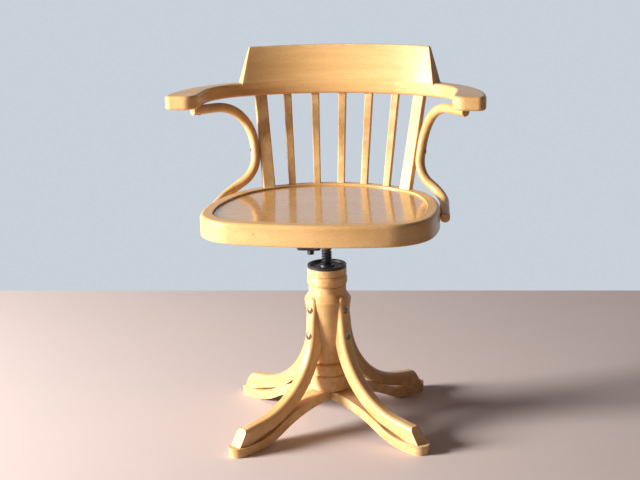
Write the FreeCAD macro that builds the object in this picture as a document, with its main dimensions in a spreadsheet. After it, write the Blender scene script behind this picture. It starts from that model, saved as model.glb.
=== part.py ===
"""Bankers swivel chair: bent back and arms on a round seat, screw column and four-legged base.

Millimetres, +Z up, the seat faces -Y.  The pieces are built about the swivel
axis, and the last step moves the origin to the middle of the footprint on the floor.
"""
import FreeCAD
import Part
import Sketcher
import math
import os

# Driving dimensions, one named value each
DIMENSIONS = {
    # Base: rails and legs
    "base_turn": 9.0,
    "rail_width": 35.0,
    "rail_thick": 18.0,
    "rail_rise": 55.0,
    "rail_reach": 258.0,
    "rail_foot_start": 219.0,
    "rail_bend_share": 0.65,
    "leg_width": 25.0,
    "leg_thick": 25.0,
    "leg_curve_radius": 158.0,
    "leg_curve_reach": 210.0,
    "leg_curve_height": 210.0,
    "leg_top_height": 263.0,
    "leg_top_reach": 46.0,
    "leg_nose_reach": 227.0,
    "leg_nose_height": 48.0,
    "leg_foot_reach": 246.0,
    "leg_heel_reach": 219.3,
    "leg_edge_round": 8.0,
    "round_shy": 0.1,
    "housing_gap": 0.15,
    # Turned column
    "plinth_radius": 38.0,
    "plinth_height": 30.0,
    "plinth_step_radius": 34.0,
    "plinth_step_height": 23.0,
    "plinth_foot_edge": 1.5,
    "plinth_edge": 2.0,
    "plinth_step_edge": 3.0,
    "shaft_foot_radius": 27.5,
    "shaft_top_radius": 45.0,
    "shaft_top_height": 256.0,
    "shaft_top_edge": 3.0,
    "shaft_top_ledge": 1.0,
    "neck_cove": 2.0,
    "neck_radius": 36.0,
    "neck_height": 268.0,
    "bead_foot_height": 282.0,
    "bead_height": 19.0,
    "bead_radius": 38.5,
    "bead_swell": 2.0,
    "groove_radius": 34.5,
    "groove_width": 1.5,
    "collar_radius": 37.6,
    "column_top": 316.0,
    "column_bore_radius": 15.0,
    "column_bore_floor": 150.0,
    # Iron screw parts
    "flange_radius": 37.5,
    "flange_thick": 6.0,
    "dish_radius": 33.0,
    "dish_depth": 4.5,
    "boss_radius": 15.0,
    "dish_slope": 2.0,
    "barrel_radius": 17.0,
    "barrel_length": 54.0,
    "nut_screw_circle": 25.0,
    "thread_radius": 10.0,
    "thread_root_radius": 8.4,
    "thread_lead": 5.0,
    "thread_flank_share": 0.36,
    "thread_crest_share": 0.12,
    "thread_sink": 0.4,
    "thread_start_gap": 4.0,
    "running_gap": 0.05,
    "turned_edge": 1.0,
    "spindle_foot": 180.0,
    "spindle_shoulder": 353.0,
    "journal_radius": 7.5,
    "journal_top": 400.0,
    "stop_radius": 13.5,
    "stop_thick": 3.0,
    "stop_head_thick": 2.2,
    "stop_screw_length": 22.0,
    "bush_radius": 10.0,
    "bush_flange_radius": 10.8,
    "bush_flange_thick": 3.0,
    # Seat iron
    "hub_radius": 19.0,
    "hub_flare": 8.0,
    "hub_flare_height": 4.0,
    "hub_end_gap": 2.0,
    "ear_overlap": 5.0,
    "spider_thick": 8.0,
    "spider_width": 26.0,
    "spider_reach_x": 62.0,
    "spider_reach_y": 55.0,
    "ear_reach": 43.0,
    "ear_width": 24.0,
    "ear_thick": 8.0,
    "lever_pivot": 31.0,
    "lever_thick": 8.0,
    "lever_width": 14.0,
    "lever_tail": 27.0,
    "lever_nose": 19.5,
    "pivot_radius": 4.0,
    "pivot_head_radius": 7.0,
    "pivot_head_thick": 8.0,
    "pivot_end_proud": 6.0,
    "lever_round": 2.0,
    # Seat
    "seat_width": 446.5,
    "seat_back": 188.0,
    "seat_front": 190.0,
    "seat_widest": 51.0,
    "seat_back_ease": 9.75,
    "seat_side_ease": 72.75,
    "seat_front_radius": 750.0,
    "seat_rear_corner": 105.0,
    "seat_front_corner": 92.0,
    "rim_top": 443.0,
    "rim_height": 41.0,
    "rim_width": 24.0,
    "rim_ledge": 12.0,
    "rim_top_round": 7.0,
    "rim_bottom_round": 3.0,
    "rim_lip_round": 1.5,
    "panel_thick": 9.0,
    "panel_sink": 3.5,
    "panel_gap": 0.2,
    "batten_thick": 22.0,
    "batten_width": 45.0,
    "batten_gap": 4.0,
    "batten_place": 55.0,
    # Hoop, arms and crest
    "arm_top": 647.0,
    "arm_thick": 27.0,
    "hoop_back": 201.0,
    "hoop_radius": 385.0,
    "hoop_width": 28.0,
    "hoop_joint": 115.0,
    "arm_outer_reach": 306.0,
    "arm_outer_radius": 200.0,
    "paddle_width": 63.0,
    "arm_straight": 45.0,
    "arm_outer_corner": 14.0,
    "arm_inner_corner": 26.0,
    "arm_edge_round": 6.0,
    "crest_height": 69.0,
    "crest_half_length": 190.0,
    "crest_end_slant": 11.0,
    "crest_foot_thick": 26.0,
    "crest_top_thick": 8.0,
    "crest_lean": 19.0,
    "crest_tip_inner": 1.6,
    "crest_tip_outer": 6.4,
    # Uprights
    "post_width": 24.0,
    "post_thick": 14.0,
    "post_foot_x": 138.0,
    "post_top_x": 161.0,
    "slat_foot_width": 14.0,
    "slat_top_width": 16.0,
    "slat_thick": 10.0,
    "slat_foot_spacing": 48.0,
    "slat_top_spacing": 55.0,
    "upright_edge_round": 2.0,
    "tenon_radius": 4.0,
    "tenon_length": 16.0,
    "tenon_gap": 0.1,
    # Bent arm supports
    "rod_radius": 9.3,
    "rod_gap": 0.3,
    "rod_front_inset": 41.0,
    "rod_front_set_back": 53.0,
    "rod_shoulder_inset": 101.0,
    "rod_shoulder_set_back": 116.0,
    "rod_belly_top": 557.0,
    "rod_belly_foot": 474.0,
    "rod_heel_out": 33.0,
    "rod_heel_y": 98.0,
    "rod_heel_height": 436.0,
    "rod_foot_y": 8.0,
    "rod_foot_height": 417.0,
    "rod_bend_share": 0.46,
    "rod_end_round": 2.0,
    # Fasteners
    "leg_bolt_high": 239.0,
    "leg_bolt_low": 188.0,
    "leg_bolt_radius": 3.5,
    "leg_bolt_head": 7.5,
    "leg_bolt_dome": 3.0,
    "leg_bolt_end": 18.0,
    "leg_bolt_slot_share": 0.55,
    "screw_radius": 2.4,
    "screw_head": 4.6,
    "slot_width": 1.4,
    "screw_bite": 16.0,
    "screw_hole_spare": 0.5,
    "screw_hole_mouth": 5.0,
    "foot_screw_sink": 3.0,
    "foot_screw_bite": 13.0,
    "nut_screw_length": 20.0,
    "batten_screw_sink": 3.0,
    "batten_screw_offset": 8.0,
    "panel_bite": 6.0,
    "support_screw_inset": 14.0,
    "centre_bolt_radius": 5.0,
    "centre_bolt_head": 9.0,
    "centre_bolt_length": 66.0,
    "centre_bolt_head_thick": 6.3,
    "centre_bolt_gap": 0.2,
}

SKETCH_ROLE = {"XY": "XY_Plane", "XZ": "XZ_Plane", "YZ": "YZ_Plane"}
UP = FreeCAD.Vector(0, 0, 1)

doc = FreeCAD.newDocument("bankers_chair")
sheet = doc.addObject("Spreadsheet::Sheet", "Sizes")
for row, (alias, number) in enumerate(DIMENSIONS.items(), start=1):
    sheet.set("A%d" % row, alias.replace("_", " "))
    sheet.set("B%d" % row, str(number))
    sheet.setAlias("B%d" % row, alias)
doc.recompute()


class Dim:
    """A length together with the sheet rule that it comes from."""

    def __init__(self, value, rule):
        self.value = float(value)
        self.rule = rule

    def join(self, other, sign, value):
        """Return the Dim for this length, a sign and another length or number."""
        text = other.rule if isinstance(other, Dim) else repr(float(other))
        return Dim(value, "(%s %s %s)" % (self.rule, sign, text))

    def __add__(self, other):
        return self.join(other, "+", self.value + number_of(other))

    def __sub__(self, other):
        return self.join(other, "-", self.value - number_of(other))

    def __mul__(self, other):
        return self.join(other, "*", self.value * number_of(other))

    def __truediv__(self, other):
        return self.join(other, "/", self.value / number_of(other))

    def __neg__(self):
        return Dim(-self.value, "(0 - %s)" % self.rule)


def number_of(thing):
    """Return the plain number of a Dim or a number."""
    return thing.value if isinstance(thing, Dim) else float(thing)


def dim(alias):
    """Return a driving dimension of the sheet as a Dim."""
    return Dim(sheet.get(alias), "Sizes.%s" % alias)


def size(alias):
    """Return a driving dimension of the sheet as a plain number."""
    return float(sheet.get(alias))


ZERO = Dim(0, "0")


def point(x, y, z=0.0):
    """Return a vector."""
    return FreeCAD.Vector(x, y, z)


def on_circle(centre, radius, angle):
    """Return the point of a circle at an angle in degrees."""
    turn = math.radians(angle)
    return centre + point(radius * math.cos(turn), radius * math.sin(turn))


def arc(centre, radius, start, end):
    """Return the edge of a circle from one angle to the next, in degrees."""
    middle = on_circle(centre, radius, (start + end) / 2.0)
    return Part.Arc(on_circle(centre, radius, start), middle, on_circle(centre, radius, end))


def line(start, end):
    """Return a straight edge."""
    return Part.LineSegment(start, end)


def angle_of(vector):
    """Return the direction of a vector in the plane, in degrees."""
    return math.degrees(math.atan2(vector.y, vector.x))


def tangent_point(centre, radius, outside, side):
    """Return where a line from an outside point touches a circle, on one side (+1 or -1)."""
    away = outside - centre
    swing = math.degrees(math.acos(radius / away.Length))
    return on_circle(centre, radius, angle_of(away) + side * swing)


# Bodies and features

def new_body(name):
    """Return a new body whose label names its file."""
    body = doc.addObject("PartDesign::Body", name)
    body.Label = name
    return body


def new_sketch(body, plane, height=ZERO):
    """Return a sketch on one of the body's own planes, raised along its normal."""
    sketch = body.newObject("Sketcher::SketchObject", body.Name + "_sketch")
    for feature in body.Origin.OriginFeatures:
        if feature.Role == SKETCH_ROLE[plane]:
            sketch.AttachmentSupport = [(feature, "")]
    sketch.MapMode = "FlatFace"
    sketch.setExpression("AttachmentOffset.Base.z", height.rule)
    return sketch


def draw(sketch, edges):
    """Draw worked-out lines and arcs, held where they are."""
    for edge in edges:
        index = sketch.addGeometry(edge, False)
        sketch.addConstraint(Sketcher.Constraint("Block", index))


def draw_bound(sketch, corners):
    """Draw a closed outline of straight lines whose corners follow the sheet."""
    count = len(corners)
    places = [point(number_of(x), number_of(y)) for x, y in corners]
    for index in range(count):
        sketch.addGeometry(line(places[index], places[(index + 1) % count]), False)
    for index in range(count):
        sketch.addConstraint(Sketcher.Constraint("Coincident", index, 2, (index + 1) % count, 1))
    for index, (x, y) in enumerate(corners):
        for kind, length in (("DistanceX", x), ("DistanceY", y)):
            number = sketch.addConstraint(Sketcher.Constraint(kind, -1, 1, index, 1, length.value))
            sketch.setExpression("Constraints[%d]" % number, length.rule)


def draw_circle(sketch, x, y, radius):
    """Draw a circle whose place and radius follow the sheet."""
    circle = Part.Circle(point(number_of(x), number_of(y)), UP, radius.value)
    index = sketch.addGeometry(circle, False)
    for kind, length in (("DistanceX", x), ("DistanceY", y)):
        number = sketch.addConstraint(Sketcher.Constraint(kind, -1, 1, index, 3, number_of(length)))
        if isinstance(length, Dim):
            sketch.setExpression("Constraints[%d]" % number, length.rule)
    number = sketch.addConstraint(Sketcher.Constraint("Radius", index, radius.value))
    sketch.setExpression("Constraints[%d]" % number, radius.rule)


def pad(body, sketch, length, both_ways=False, reverse=False):
    """Return a pad of a sketch."""
    feature = body.newObject("PartDesign::Pad", body.Name + "_pad")
    feature.Profile = sketch
    feature.setExpression("Length", length.rule)
    feature.Reversed = reverse
    if both_ways:
        feature.SideType = "Symmetric"
    doc.recompute()
    return feature


def pocket(body, sketch, length=None, reverse=False):
    """Return a pocket of a sketch, through everything both ways where it has no length."""
    before = body.Shape.Volume
    feature = body.newObject("PartDesign::Pocket", body.Name + "_pocket")
    feature.Profile = sketch
    feature.Reversed = reverse
    if length is None:
        feature.Type = "ThroughAll"
        feature.SideType = "Symmetric"
    else:
        feature.setExpression("Length", length.rule)
    doc.recompute()
    if not body.Shape.Volume < before:
        raise RuntimeError("%s: the pocket cuts nothing" % body.Label)
    return feature


def turn_body(body, corners, subtract=False):
    """Turn a closed outline of the XZ plane about the body's Z axis."""
    sketch = new_sketch(body, "XZ")
    draw_bound(sketch, corners)
    kind = "PartDesign::Groove" if subtract else "PartDesign::Revolution"
    feature = body.newObject(kind, body.Name + "_turning")
    feature.Profile = sketch
    feature.ReferenceAxis = (sketch, ["V_Axis"])
    feature.Angle = 360.0
    doc.recompute()
    return feature


def round_edges(body, radius, wanted):
    """Round the edges of the body's tip that a test picks, with a radius that follows the sheet."""
    base = body.Tip
    names = ["Edge%d" % (index + 1) for index, edge in enumerate(base.Shape.Edges) if wanted(edge)]
    feature = body.newObject("PartDesign::Fillet", body.Name + "_round")
    feature.Base = (base, names)
    feature.setExpression("Radius", radius.rule)
    doc.recompute()
    return feature


def turned_placement(body, rule):
    """Turn a body about the swivel axis by a sheet rule in degrees."""
    body.Placement = FreeCAD.Placement(point(0, 0), FreeCAD.Rotation(UP, 1.0))
    body.setExpression("Placement.Rotation.Angle", rule)


def add_shape(name, shape):
    """Return an object for a worked-out shape."""
    feature = doc.addObject("Part::Feature", name)
    feature.Label = name
    feature.Shape = shape
    return feature


def is_level(edge, height):
    """Return whether an edge lies at one height."""
    box = edge.BoundBox
    return abs(box.ZMin - height) < 1e-4 and abs(box.ZMax - height) < 1e-4


def compound_cut(name, base, tools):
    """Cut a worked-out compound of tools from an object."""
    tool = doc.addObject("Part::Feature", name + "_tools")
    tool.Shape = Part.makeCompound(tools)
    cut = doc.addObject("Part::Cut", name)
    cut.Base = base
    cut.Tool = tool
    cut.Label = name
    doc.recompute()
    return cut


def rod(start, end, radius):
    """Return a round bar between two points."""
    way = end - start
    return Part.makeCylinder(radius, way.Length, start, way)


def screw(head_place, tip_place, radius, head_radius):
    """Return a countersunk wood screw with a slot across its head."""
    way = (tip_place - head_place).normalize()
    depth = head_radius - radius
    head = Part.makeCone(head_radius, radius, depth, head_place, way)
    shank = rod(head_place + way * (depth / 2.0), tip_place, radius)
    body = head.fuse(shank)
    slot = Part.makeBox(size("slot_width"), head_radius * 4, depth, point(0, 0))
    slot.translate(point(-size("slot_width") / 2.0, -head_radius * 2, -depth / 2.0))
    slot.Placement = FreeCAD.Placement(head_place, FreeCAD.Rotation(UP, way)).multiply(slot.Placement)
    return body.cut(slot).removeSplitter()


def screw_hole(head_place, tip_place, radius, head_radius):
    """Return the tool that cuts the hole a screw sits in, open above its head."""
    gap = size("running_gap")
    way = (tip_place - head_place).normalize()
    depth = head_radius - radius
    mouth = rod(head_place - way * size("screw_hole_mouth"), head_place, head_radius + gap)
    head = Part.makeCone(head_radius + gap, radius + gap, depth, head_place, way)
    shank = rod(head_place, tip_place + way * size("screw_hole_spare"), radius + gap)
    return mouth.fuse(head).fuse(shank).removeSplitter()


def hexagon_head(centre, radius, start):
    """Return the face of a bolt's head, with one corner at a start angle in degrees."""
    corners = [on_circle(centre, radius, 60.0 * index + start) for index in range(7)]
    return Part.Face(Part.makePolygon(corners))


def small_screw_holes(lines):
    """Return the holes for small screws, each given by its head and tip."""
    return [screw_hole(head, tip, size("screw_radius"), size("screw_head")) for head, tip in lines]


pieces = []

# Seat outline: four arcs a side, all offset together

def seat_back_radius():
    """Return the radius of the seat's back arc, a little more than half the seat's width."""
    return size("seat_width") / 2.0 + size("seat_back_ease")


def seat_side_radius():
    """Return the radius of the seat's side arcs, flatter than its back arc."""
    return size("seat_width") / 2.0 + size("seat_side_ease")


def seat_outline(inset):
    """Return the closed seat outline moved inwards by an inset."""
    back_radius = seat_back_radius()
    side_radius = seat_side_radius()
    front_radius = size("seat_front_radius")
    rear = size("seat_rear_corner")
    front = size("seat_front_corner")
    back_centre = point(0, size("seat_back") - back_radius)
    side_centre = point(-size("seat_side_ease"), -size("seat_widest"))
    front_centre = point(0, front_radius - size("seat_front"))
    rear_centre = meet(back_centre, back_radius - rear, side_centre, side_radius - rear, 1)
    front_corner = meet(side_centre, side_radius - front, front_centre, front_radius - front, -1)
    rear_back = angle_of(rear_centre - back_centre)
    rear_side = angle_of(rear_centre - side_centre)
    front_side = angle_of(front_corner - side_centre)
    front_front = angle_of(front_corner - front_centre)
    half = [
        (front_centre, front_radius, -90.0, front_front),
        (front_corner, front, front_front, front_side),
        (side_centre, side_radius, front_side, rear_side),
        (rear_centre, rear, rear_side, rear_back),
        (back_centre, back_radius, rear_back, 90.0),
    ]
    right = [arc(centre, radius - inset, start, end) for centre, radius, start, end in half]
    left = []
    for centre, radius, start, end in reversed(half):
        mirrored = point(-centre.x, centre.y)
        left.append(arc(mirrored, radius - inset, 180.0 - end, 180.0 - start))
    return right + left


def meet(centre_a, radius_a, centre_b, radius_b, side):
    """Return where two circles meet, on the upper (+1) or lower (-1) side."""
    between = centre_b - centre_a
    gap = between.Length
    along = (radius_a ** 2 - radius_b ** 2 + gap ** 2) / (2.0 * gap)
    across = math.sqrt(radius_a ** 2 - along ** 2)
    way = between * (1.0 / gap)
    foot = centre_a + way * along
    normal = point(-way.y, way.x)
    ends = [foot + normal * across, foot - normal * across]
    ends.sort(key=lambda end: end.y * side)
    return ends[1]


def rim_x(y):
    """Return how far out the seat outline is at a depth y beside the seat."""
    return math.sqrt(seat_side_radius() ** 2 - (y + size("seat_widest")) ** 2) - size("seat_side_ease")


def room_inside(y):
    """Return how far out the rim's inner side is at a depth y, below the panel."""
    edges = [edge.toShape() for edge in seat_outline(size("rim_width") + size("rim_ledge"))]
    far = size("seat_width")
    across = Part.LineSegment(point(-far, y), point(far, y)).toShape()
    return Part.Face(Part.Wire(edges)).common(across).BoundBox.XMax


# Uprights: where each one stands on the rim and meets the hoop

def hoop_centre():
    """Return the centre of the hoop's back arc."""
    return point(0, size("hoop_back") - size("hoop_radius"))


def seat_back_centre():
    """Return the centre of the seat's back arc."""
    return point(0, size("seat_back") - seat_back_radius())


def upright_line(foot_x, top_x):
    """Return the foot and top of an upright's middle line."""
    foot_radius = seat_back_radius() - size("rim_width") / 2.0
    top_radius = size("hoop_radius") + size("hoop_width") / 2.0
    foot_y = seat_back_centre().y + math.sqrt(foot_radius ** 2 - foot_x ** 2)
    top_y = hoop_centre().y + math.sqrt(top_radius ** 2 - top_x ** 2)
    foot = point(foot_x, foot_y, size("rim_top"))
    top = point(top_x, top_y, size("arm_top") - size("arm_thick"))
    return foot, top


def upright_places():
    """Return the name, foot and top of each upright, left to right."""
    places = [("post_left", -size("post_foot_x"), -size("post_top_x"))]
    for index in range(5):
        step = index - 2
        foot_x = step * size("slat_foot_spacing")
        top_x = step * size("slat_top_spacing")
        places.append(("back_slat_%d" % (index + 1), foot_x, top_x))
    places.append(("post_right", size("post_foot_x"), size("post_top_x")))
    return [(name, *upright_line(foot_x, top_x)) for name, foot_x, top_x in places]


def across_upright(top):
    """Return the sideways and backward directions of an upright, from the hoop's centre."""
    back = point(top.x, top.y - hoop_centre().y)
    back.normalize()
    return point(back.y, -back.x), back


def tenon_tools(radius, places):
    """Return the round tenons at both ends of the uprights."""
    tools = []
    for name, foot, top in places:
        way = (top - foot).normalize()
        reach = size("tenon_length")
        tools.append(rod(foot - way * reach, foot + way * reach, radius))
        tools.append(rod(top - way * reach, top + way * reach, radius))
    return tools


def side_bend(radius, bend, reach):
    """Return the centre and angle of an arc that leaves the hoop and ends at a side reach."""
    angle = math.degrees(math.acos((reach - bend) / (radius - bend)))
    return on_circle(hoop_centre(), radius - bend, angle), angle


def inner_arm_bend():
    """Return the centre, radius and angle of an arm's inner bend, which starts under the crest's end."""
    reach = size("arm_outer_reach") - size("paddle_width")
    crest_end = size("crest_half_length")
    radius = (reach - crest_end) / (1.0 - crest_end / size("hoop_radius"))
    centre, angle = side_bend(size("hoop_radius"), radius, reach)
    return centre, radius, angle


def arm_front():
    """Return how far back the front ends of the arms are."""
    return inner_arm_bend()[0].y - size("arm_straight") - size("arm_inner_corner")


# Bent rods that carry the arms

def rod_corners(side):
    """Return the corners of an arm support's path, for the right (+1) or left (-1) side."""
    under_arm = size("arm_top") - size("arm_thick") - size("rod_radius") - size("rod_gap")
    foot, top = upright_line(size("post_foot_x"), size("post_top_x"))
    sideways, back = across_upright(top)
    away = sideways * (size("post_width") / 2.0 + size("rod_radius") + size("rod_gap"))
    way = (top - foot) * (1.0 / (top.z - foot.z))
    belly_top = foot + way * (size("rod_belly_top") - foot.z) + away
    belly_foot = foot + way * (size("rod_belly_foot") - foot.z) + away
    arm_reach = size("arm_outer_reach")
    front = arm_front()
    heel_x = rim_x(size("rod_heel_y")) + size("rod_heel_out")
    foot_y = -size("rod_foot_y")
    foot_x = rim_x(foot_y) + size("rod_radius") + size("rod_gap")
    corners = [
        point(arm_reach - size("rod_front_inset"), front + size("rod_front_set_back"), under_arm),
        point(arm_reach - size("rod_shoulder_inset"), front + size("rod_shoulder_set_back"), under_arm),
        belly_top,
        belly_foot,
        point(heel_x, size("rod_heel_y"), size("rod_heel_height")),
        point(foot_x, foot_y, size("rod_foot_height")),
    ]
    return [point(side * corner.x, corner.y, corner.z) for corner in corners]


def rod_shape(side):
    """Return an arm support: straight round bars joined by bends of the same section."""
    radius = size("rod_radius")
    corners = rod_corners(side)
    runs = []
    here = corners[0]
    for before, corner, after in zip(corners, corners[1:], corners[2:]):
        back = (before - corner).normalize()
        ahead = (after - corner).normalize()
        half = back.getAngle(ahead) / 2.0
        reach = size("rod_bend_share") * min((before - corner).Length, (after - corner).Length)
        bend_radius = reach * math.tan(half)
        centre = corner + (back + ahead).normalize() * (bend_radius / math.sin(half))
        start = corner + back * reach
        section = Part.Face(Part.Wire([Part.Circle(start, back, radius).toShape()]))
        runs.append(rod(here, start, radius))
        runs.append(section.revolve(centre, ahead.cross(back), 180.0 - math.degrees(2.0 * half)))
        here = corner + ahead * reach
    runs.append(rod(here, corners[-1], radius))
    whole = runs[0].multiFuse(runs[1:]).removeSplitter()
    tips = [corners[0], corners[-1]]
    ends = [edge for edge in whole.Edges if min((edge.BoundBox.Center - tip).Length for tip in tips) < 1e-3]
    return whole.makeFillet(size("rod_end_round"), ends)


def support_screw_lines(side):
    """Return the head and tip of each screw that holds an arm support."""
    corners = rod_corners(side)
    radius = size("rod_radius")
    bite = size("screw_bite")
    front = corners[0] + (corners[1] - corners[0]).normalize() * size("support_screw_inset")
    belly = (corners[2] + corners[3]) * 0.5
    sideways, back = across_upright(upright_line(size("post_foot_x"), size("post_top_x"))[1])
    sideways = point(side * sideways.x, sideways.y)
    heel = corners[5] + (corners[4] - corners[5]).normalize() * size("support_screw_inset")
    inwards = point(-side, 0)
    return [
        (front - UP * radius, front + UP * (radius + bite)),
        (belly + sideways * radius, belly - sideways * (radius + bite)),
        (heel - inwards * radius, heel + inwards * (radius + bite)),
    ]


# Base rails: an arched bar across the floor, half-lapped at the middle

def rail_edges():
    """Return the side outline of a rail, as arcs and lines."""
    share = size("rail_bend_share")
    start = size("rail_foot_start")
    rise = size("rail_rise")
    thick = size("rail_thick")
    reach = size("rail_reach")
    run, fall = share * start, share * rise
    crown = (run ** 2 + fall ** 2) / (2.0 * fall)
    toe = crown * (1.0 - share) / share
    turn = math.degrees(math.asin(run / crown))
    middle = point(0, rise - crown)
    right_toe = point(start, toe)
    left_toe = point(-start, toe)
    down = 270.0
    return [
        arc(middle, crown, 90.0 + turn, 90.0 - turn),
        arc(right_toe, toe, down - turn, down),
        line(point(start, 0), point(reach, 0)),
        line(point(reach, 0), point(reach, thick)),
        line(point(reach, thick), point(start, thick)),
        arc(right_toe, toe - thick, down, down - turn),
        arc(middle, crown + thick, 90.0 - turn, 90.0 + turn),
        arc(left_toe, toe - thick, down + turn, down),
        line(point(-start, thick), point(-reach, thick)),
        line(point(-reach, thick), point(-reach, 0)),
        line(point(-reach, 0), point(-start, 0)),
        arc(left_toe, toe, down, down + turn),
    ]


def make_rail(name, turn_rule, lap_above):
    """Make one rail with its half lap, rounded tips and screw holes."""
    body = new_body(name + "_bar")
    sketch = new_sketch(body, "XZ")
    draw(sketch, rail_edges())
    pad(body, sketch, dim("rail_width"), both_ways=True)
    lap = new_sketch(body, "XZ")
    half = dim("rail_width") / 2.0 + dim("housing_gap")
    middle = dim("rail_rise") + dim("rail_thick") / 2.0
    far = dim("rail_rise") + dim("rail_thick") * (3.0 if lap_above else -2.0)
    draw_bound(lap, [(-half, middle), (half, middle), (half, far), (-half, far)])
    pocket(body, lap)
    round_edges(body, dim("rail_width") / 2.0 - dim("round_shy"),
                lambda edge: abs(abs(edge.CenterOfMass.x) - size("rail_reach")) < 1e-4
                and abs(edge.Length - size("rail_thick")) < 1e-4
                and abs(edge.BoundBox.ZLength - size("rail_thick")) < 1e-4)
    holes = new_sketch(body, "XY")
    draw_circle(holes, 0, 0, dim("centre_bolt_radius") + dim("running_gap"))
    pocket(body, holes)
    turned_placement(body, turn_rule)
    return body


turn_a = "Sizes.base_turn + 45"
turn_b = "Sizes.base_turn + 135"
rail_a = make_rail("cross_rail_a", turn_a, True)
rail_b = make_rail("cross_rail_b", turn_b, False)

# Turned column with four housings for the legs

column_foot = dim("rail_rise") + dim("rail_thick")
plinth_top = column_foot + dim("plinth_height")
step_top = plinth_top + dim("plinth_step_height")
bead_top = dim("bead_foot_height") + dim("bead_height")
bead_turn = dim("bead_height") / 4.0
turned_column = new_body("column_turned")
turn_body(turned_column, [
    (ZERO, column_foot),
    (dim("plinth_radius") - dim("plinth_foot_edge"), column_foot),
    (dim("plinth_radius"), column_foot + dim("plinth_foot_edge")),
    (dim("plinth_radius"), plinth_top - dim("plinth_edge")),
    (dim("plinth_radius") - dim("plinth_edge"), plinth_top),
    (dim("plinth_step_radius"), plinth_top),
    (dim("plinth_step_radius"), step_top - dim("plinth_step_edge")),
    (dim("plinth_step_radius") - dim("plinth_step_edge"), step_top),
    (dim("shaft_foot_radius"), step_top),
    (dim("shaft_top_radius"), dim("shaft_top_height") - dim("shaft_top_edge")),
    (dim("shaft_top_radius") - dim("shaft_top_ledge"), dim("shaft_top_height")),
    (dim("neck_radius") + dim("neck_cove"), dim("neck_height") - dim("shaft_top_edge")),
    (dim("neck_radius"), dim("neck_height")),
    (dim("neck_radius"), dim("bead_foot_height") - dim("groove_width")),
    (dim("groove_radius"), dim("bead_foot_height") - dim("groove_width")),
    (dim("groove_radius"), dim("bead_foot_height")),
    (dim("bead_radius") - dim("bead_swell"), dim("bead_foot_height")),
    (dim("bead_radius"), dim("bead_foot_height") + bead_turn),
    (dim("bead_radius"), bead_top - bead_turn),
    (dim("bead_radius") - dim("bead_swell"), bead_top),
    (dim("groove_radius"), bead_top),
    (dim("groove_radius"), bead_top + dim("groove_width")),
    (dim("collar_radius"), bead_top + dim("groove_width")),
    (dim("collar_radius"), dim("column_top")),
    (ZERO, dim("column_top")),
])
bore = new_sketch(turned_column, "XY", dim("column_top"))
draw_circle(bore, 0, 0, dim("column_bore_radius"))
pocket(turned_column, bore, dim("column_top") - dim("column_bore_floor"))
socket = new_sketch(turned_column, "XY", dim("column_top"))
draw_circle(socket, 0, 0, dim("barrel_radius") + dim("running_gap"))
pocket(turned_column, socket, dim("barrel_length") + dim("running_gap"))
bolt_hole = new_sketch(turned_column, "XY", column_foot)
draw_circle(bolt_hole, 0, 0, dim("centre_bolt_radius") + dim("running_gap"))
bolt_depth = dim("centre_bolt_length") - dim("rail_thick") + dim("hub_end_gap")
pocket(turned_column, bolt_hole, bolt_depth, reverse=True)


# Legs: one curved outline, used for the legs and for their housings

LEG_ANGLES = [45.0, 135.0, 225.0, 315.0]
LEG_NAMES = ["leg_back_right", "leg_back_left", "leg_front_left", "leg_front_right"]


def leg_edges(grow):
    """Return a leg's side outline, its inner side moved inwards by a gap."""
    centre = point(size("leg_curve_reach"), size("leg_curve_height"))
    outer = size("leg_curve_radius")
    inner = outer + size("leg_thick") + grow
    floor = size("rail_thick")
    top = size("leg_top_height") + grow
    crown = point(size("leg_top_reach"), top)
    nose = point(size("leg_nose_reach"), size("leg_nose_height"))
    toe = point(size("leg_foot_reach"), floor)
    heel = point(size("leg_heel_reach"), floor)
    outer_top = tangent_point(centre, outer, crown, 1)
    outer_end = tangent_point(centre, outer, nose, -1)
    inner_end = tangent_point(centre, inner, heel, -1)
    inner_top = centre - point(inner, 0)
    return [
        line(point(inner_top.x, top), crown),
        line(crown, outer_top),
        arc(centre, outer, angle_of(outer_top - centre) % 360.0, angle_of(outer_end - centre) % 360.0),
        line(outer_end, nose),
        line(nose, toe),
        line(toe, heel),
        line(heel, inner_end),
        arc(centre, inner, angle_of(inner_end - centre) % 360.0, 180.0),
        line(inner_top, point(inner_top.x, top)),
    ]


def housing_tool(angle):
    """Return the slot, arched at its top, that a leg is let into."""
    gap = size("housing_gap")
    half = size("leg_width") / 2.0 + gap
    crown = size("leg_top_height") + gap
    stand = FreeCAD.Placement(point(0, half), FreeCAD.Rotation(point(1, 0), 90.0))
    side = Part.Face(Part.Wire([edge.toShape() for edge in leg_edges(gap)]))
    side.Placement = stand
    slab = side.extrude(point(0, -2.0 * half))
    front = Part.Face(Part.Wire([
        Part.LineSegment(point(0, -half, 0), point(0, half, 0)).toShape(),
        Part.LineSegment(point(0, half, 0), point(0, half, crown - half)).toShape(),
        Part.Arc(point(0, half, crown - half), point(0, 0, crown), point(0, -half, crown - half)).toShape(),
        Part.LineSegment(point(0, -half, crown - half), point(0, -half, 0)).toShape(),
    ]))
    tool = slab.common(front.extrude(point(size("rail_reach"), 0)))
    tool.rotate(point(0, 0), UP, angle)
    return tool


def leg_bolt_face(height):
    """Return how far out a leg's outer face is at a height near its top."""
    centre = point(size("leg_curve_reach"), size("leg_curve_height"))
    crown = point(size("leg_top_reach"), size("leg_top_height"))
    touch = tangent_point(centre, size("leg_curve_radius"), crown, 1)
    if height > touch.y:
        share = (crown.y - height) / (crown.y - touch.y)
        return crown.x + share * (touch.x - crown.x)
    return centre.x - math.sqrt(size("leg_curve_radius") ** 2 - (centre.y - height) ** 2)


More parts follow.
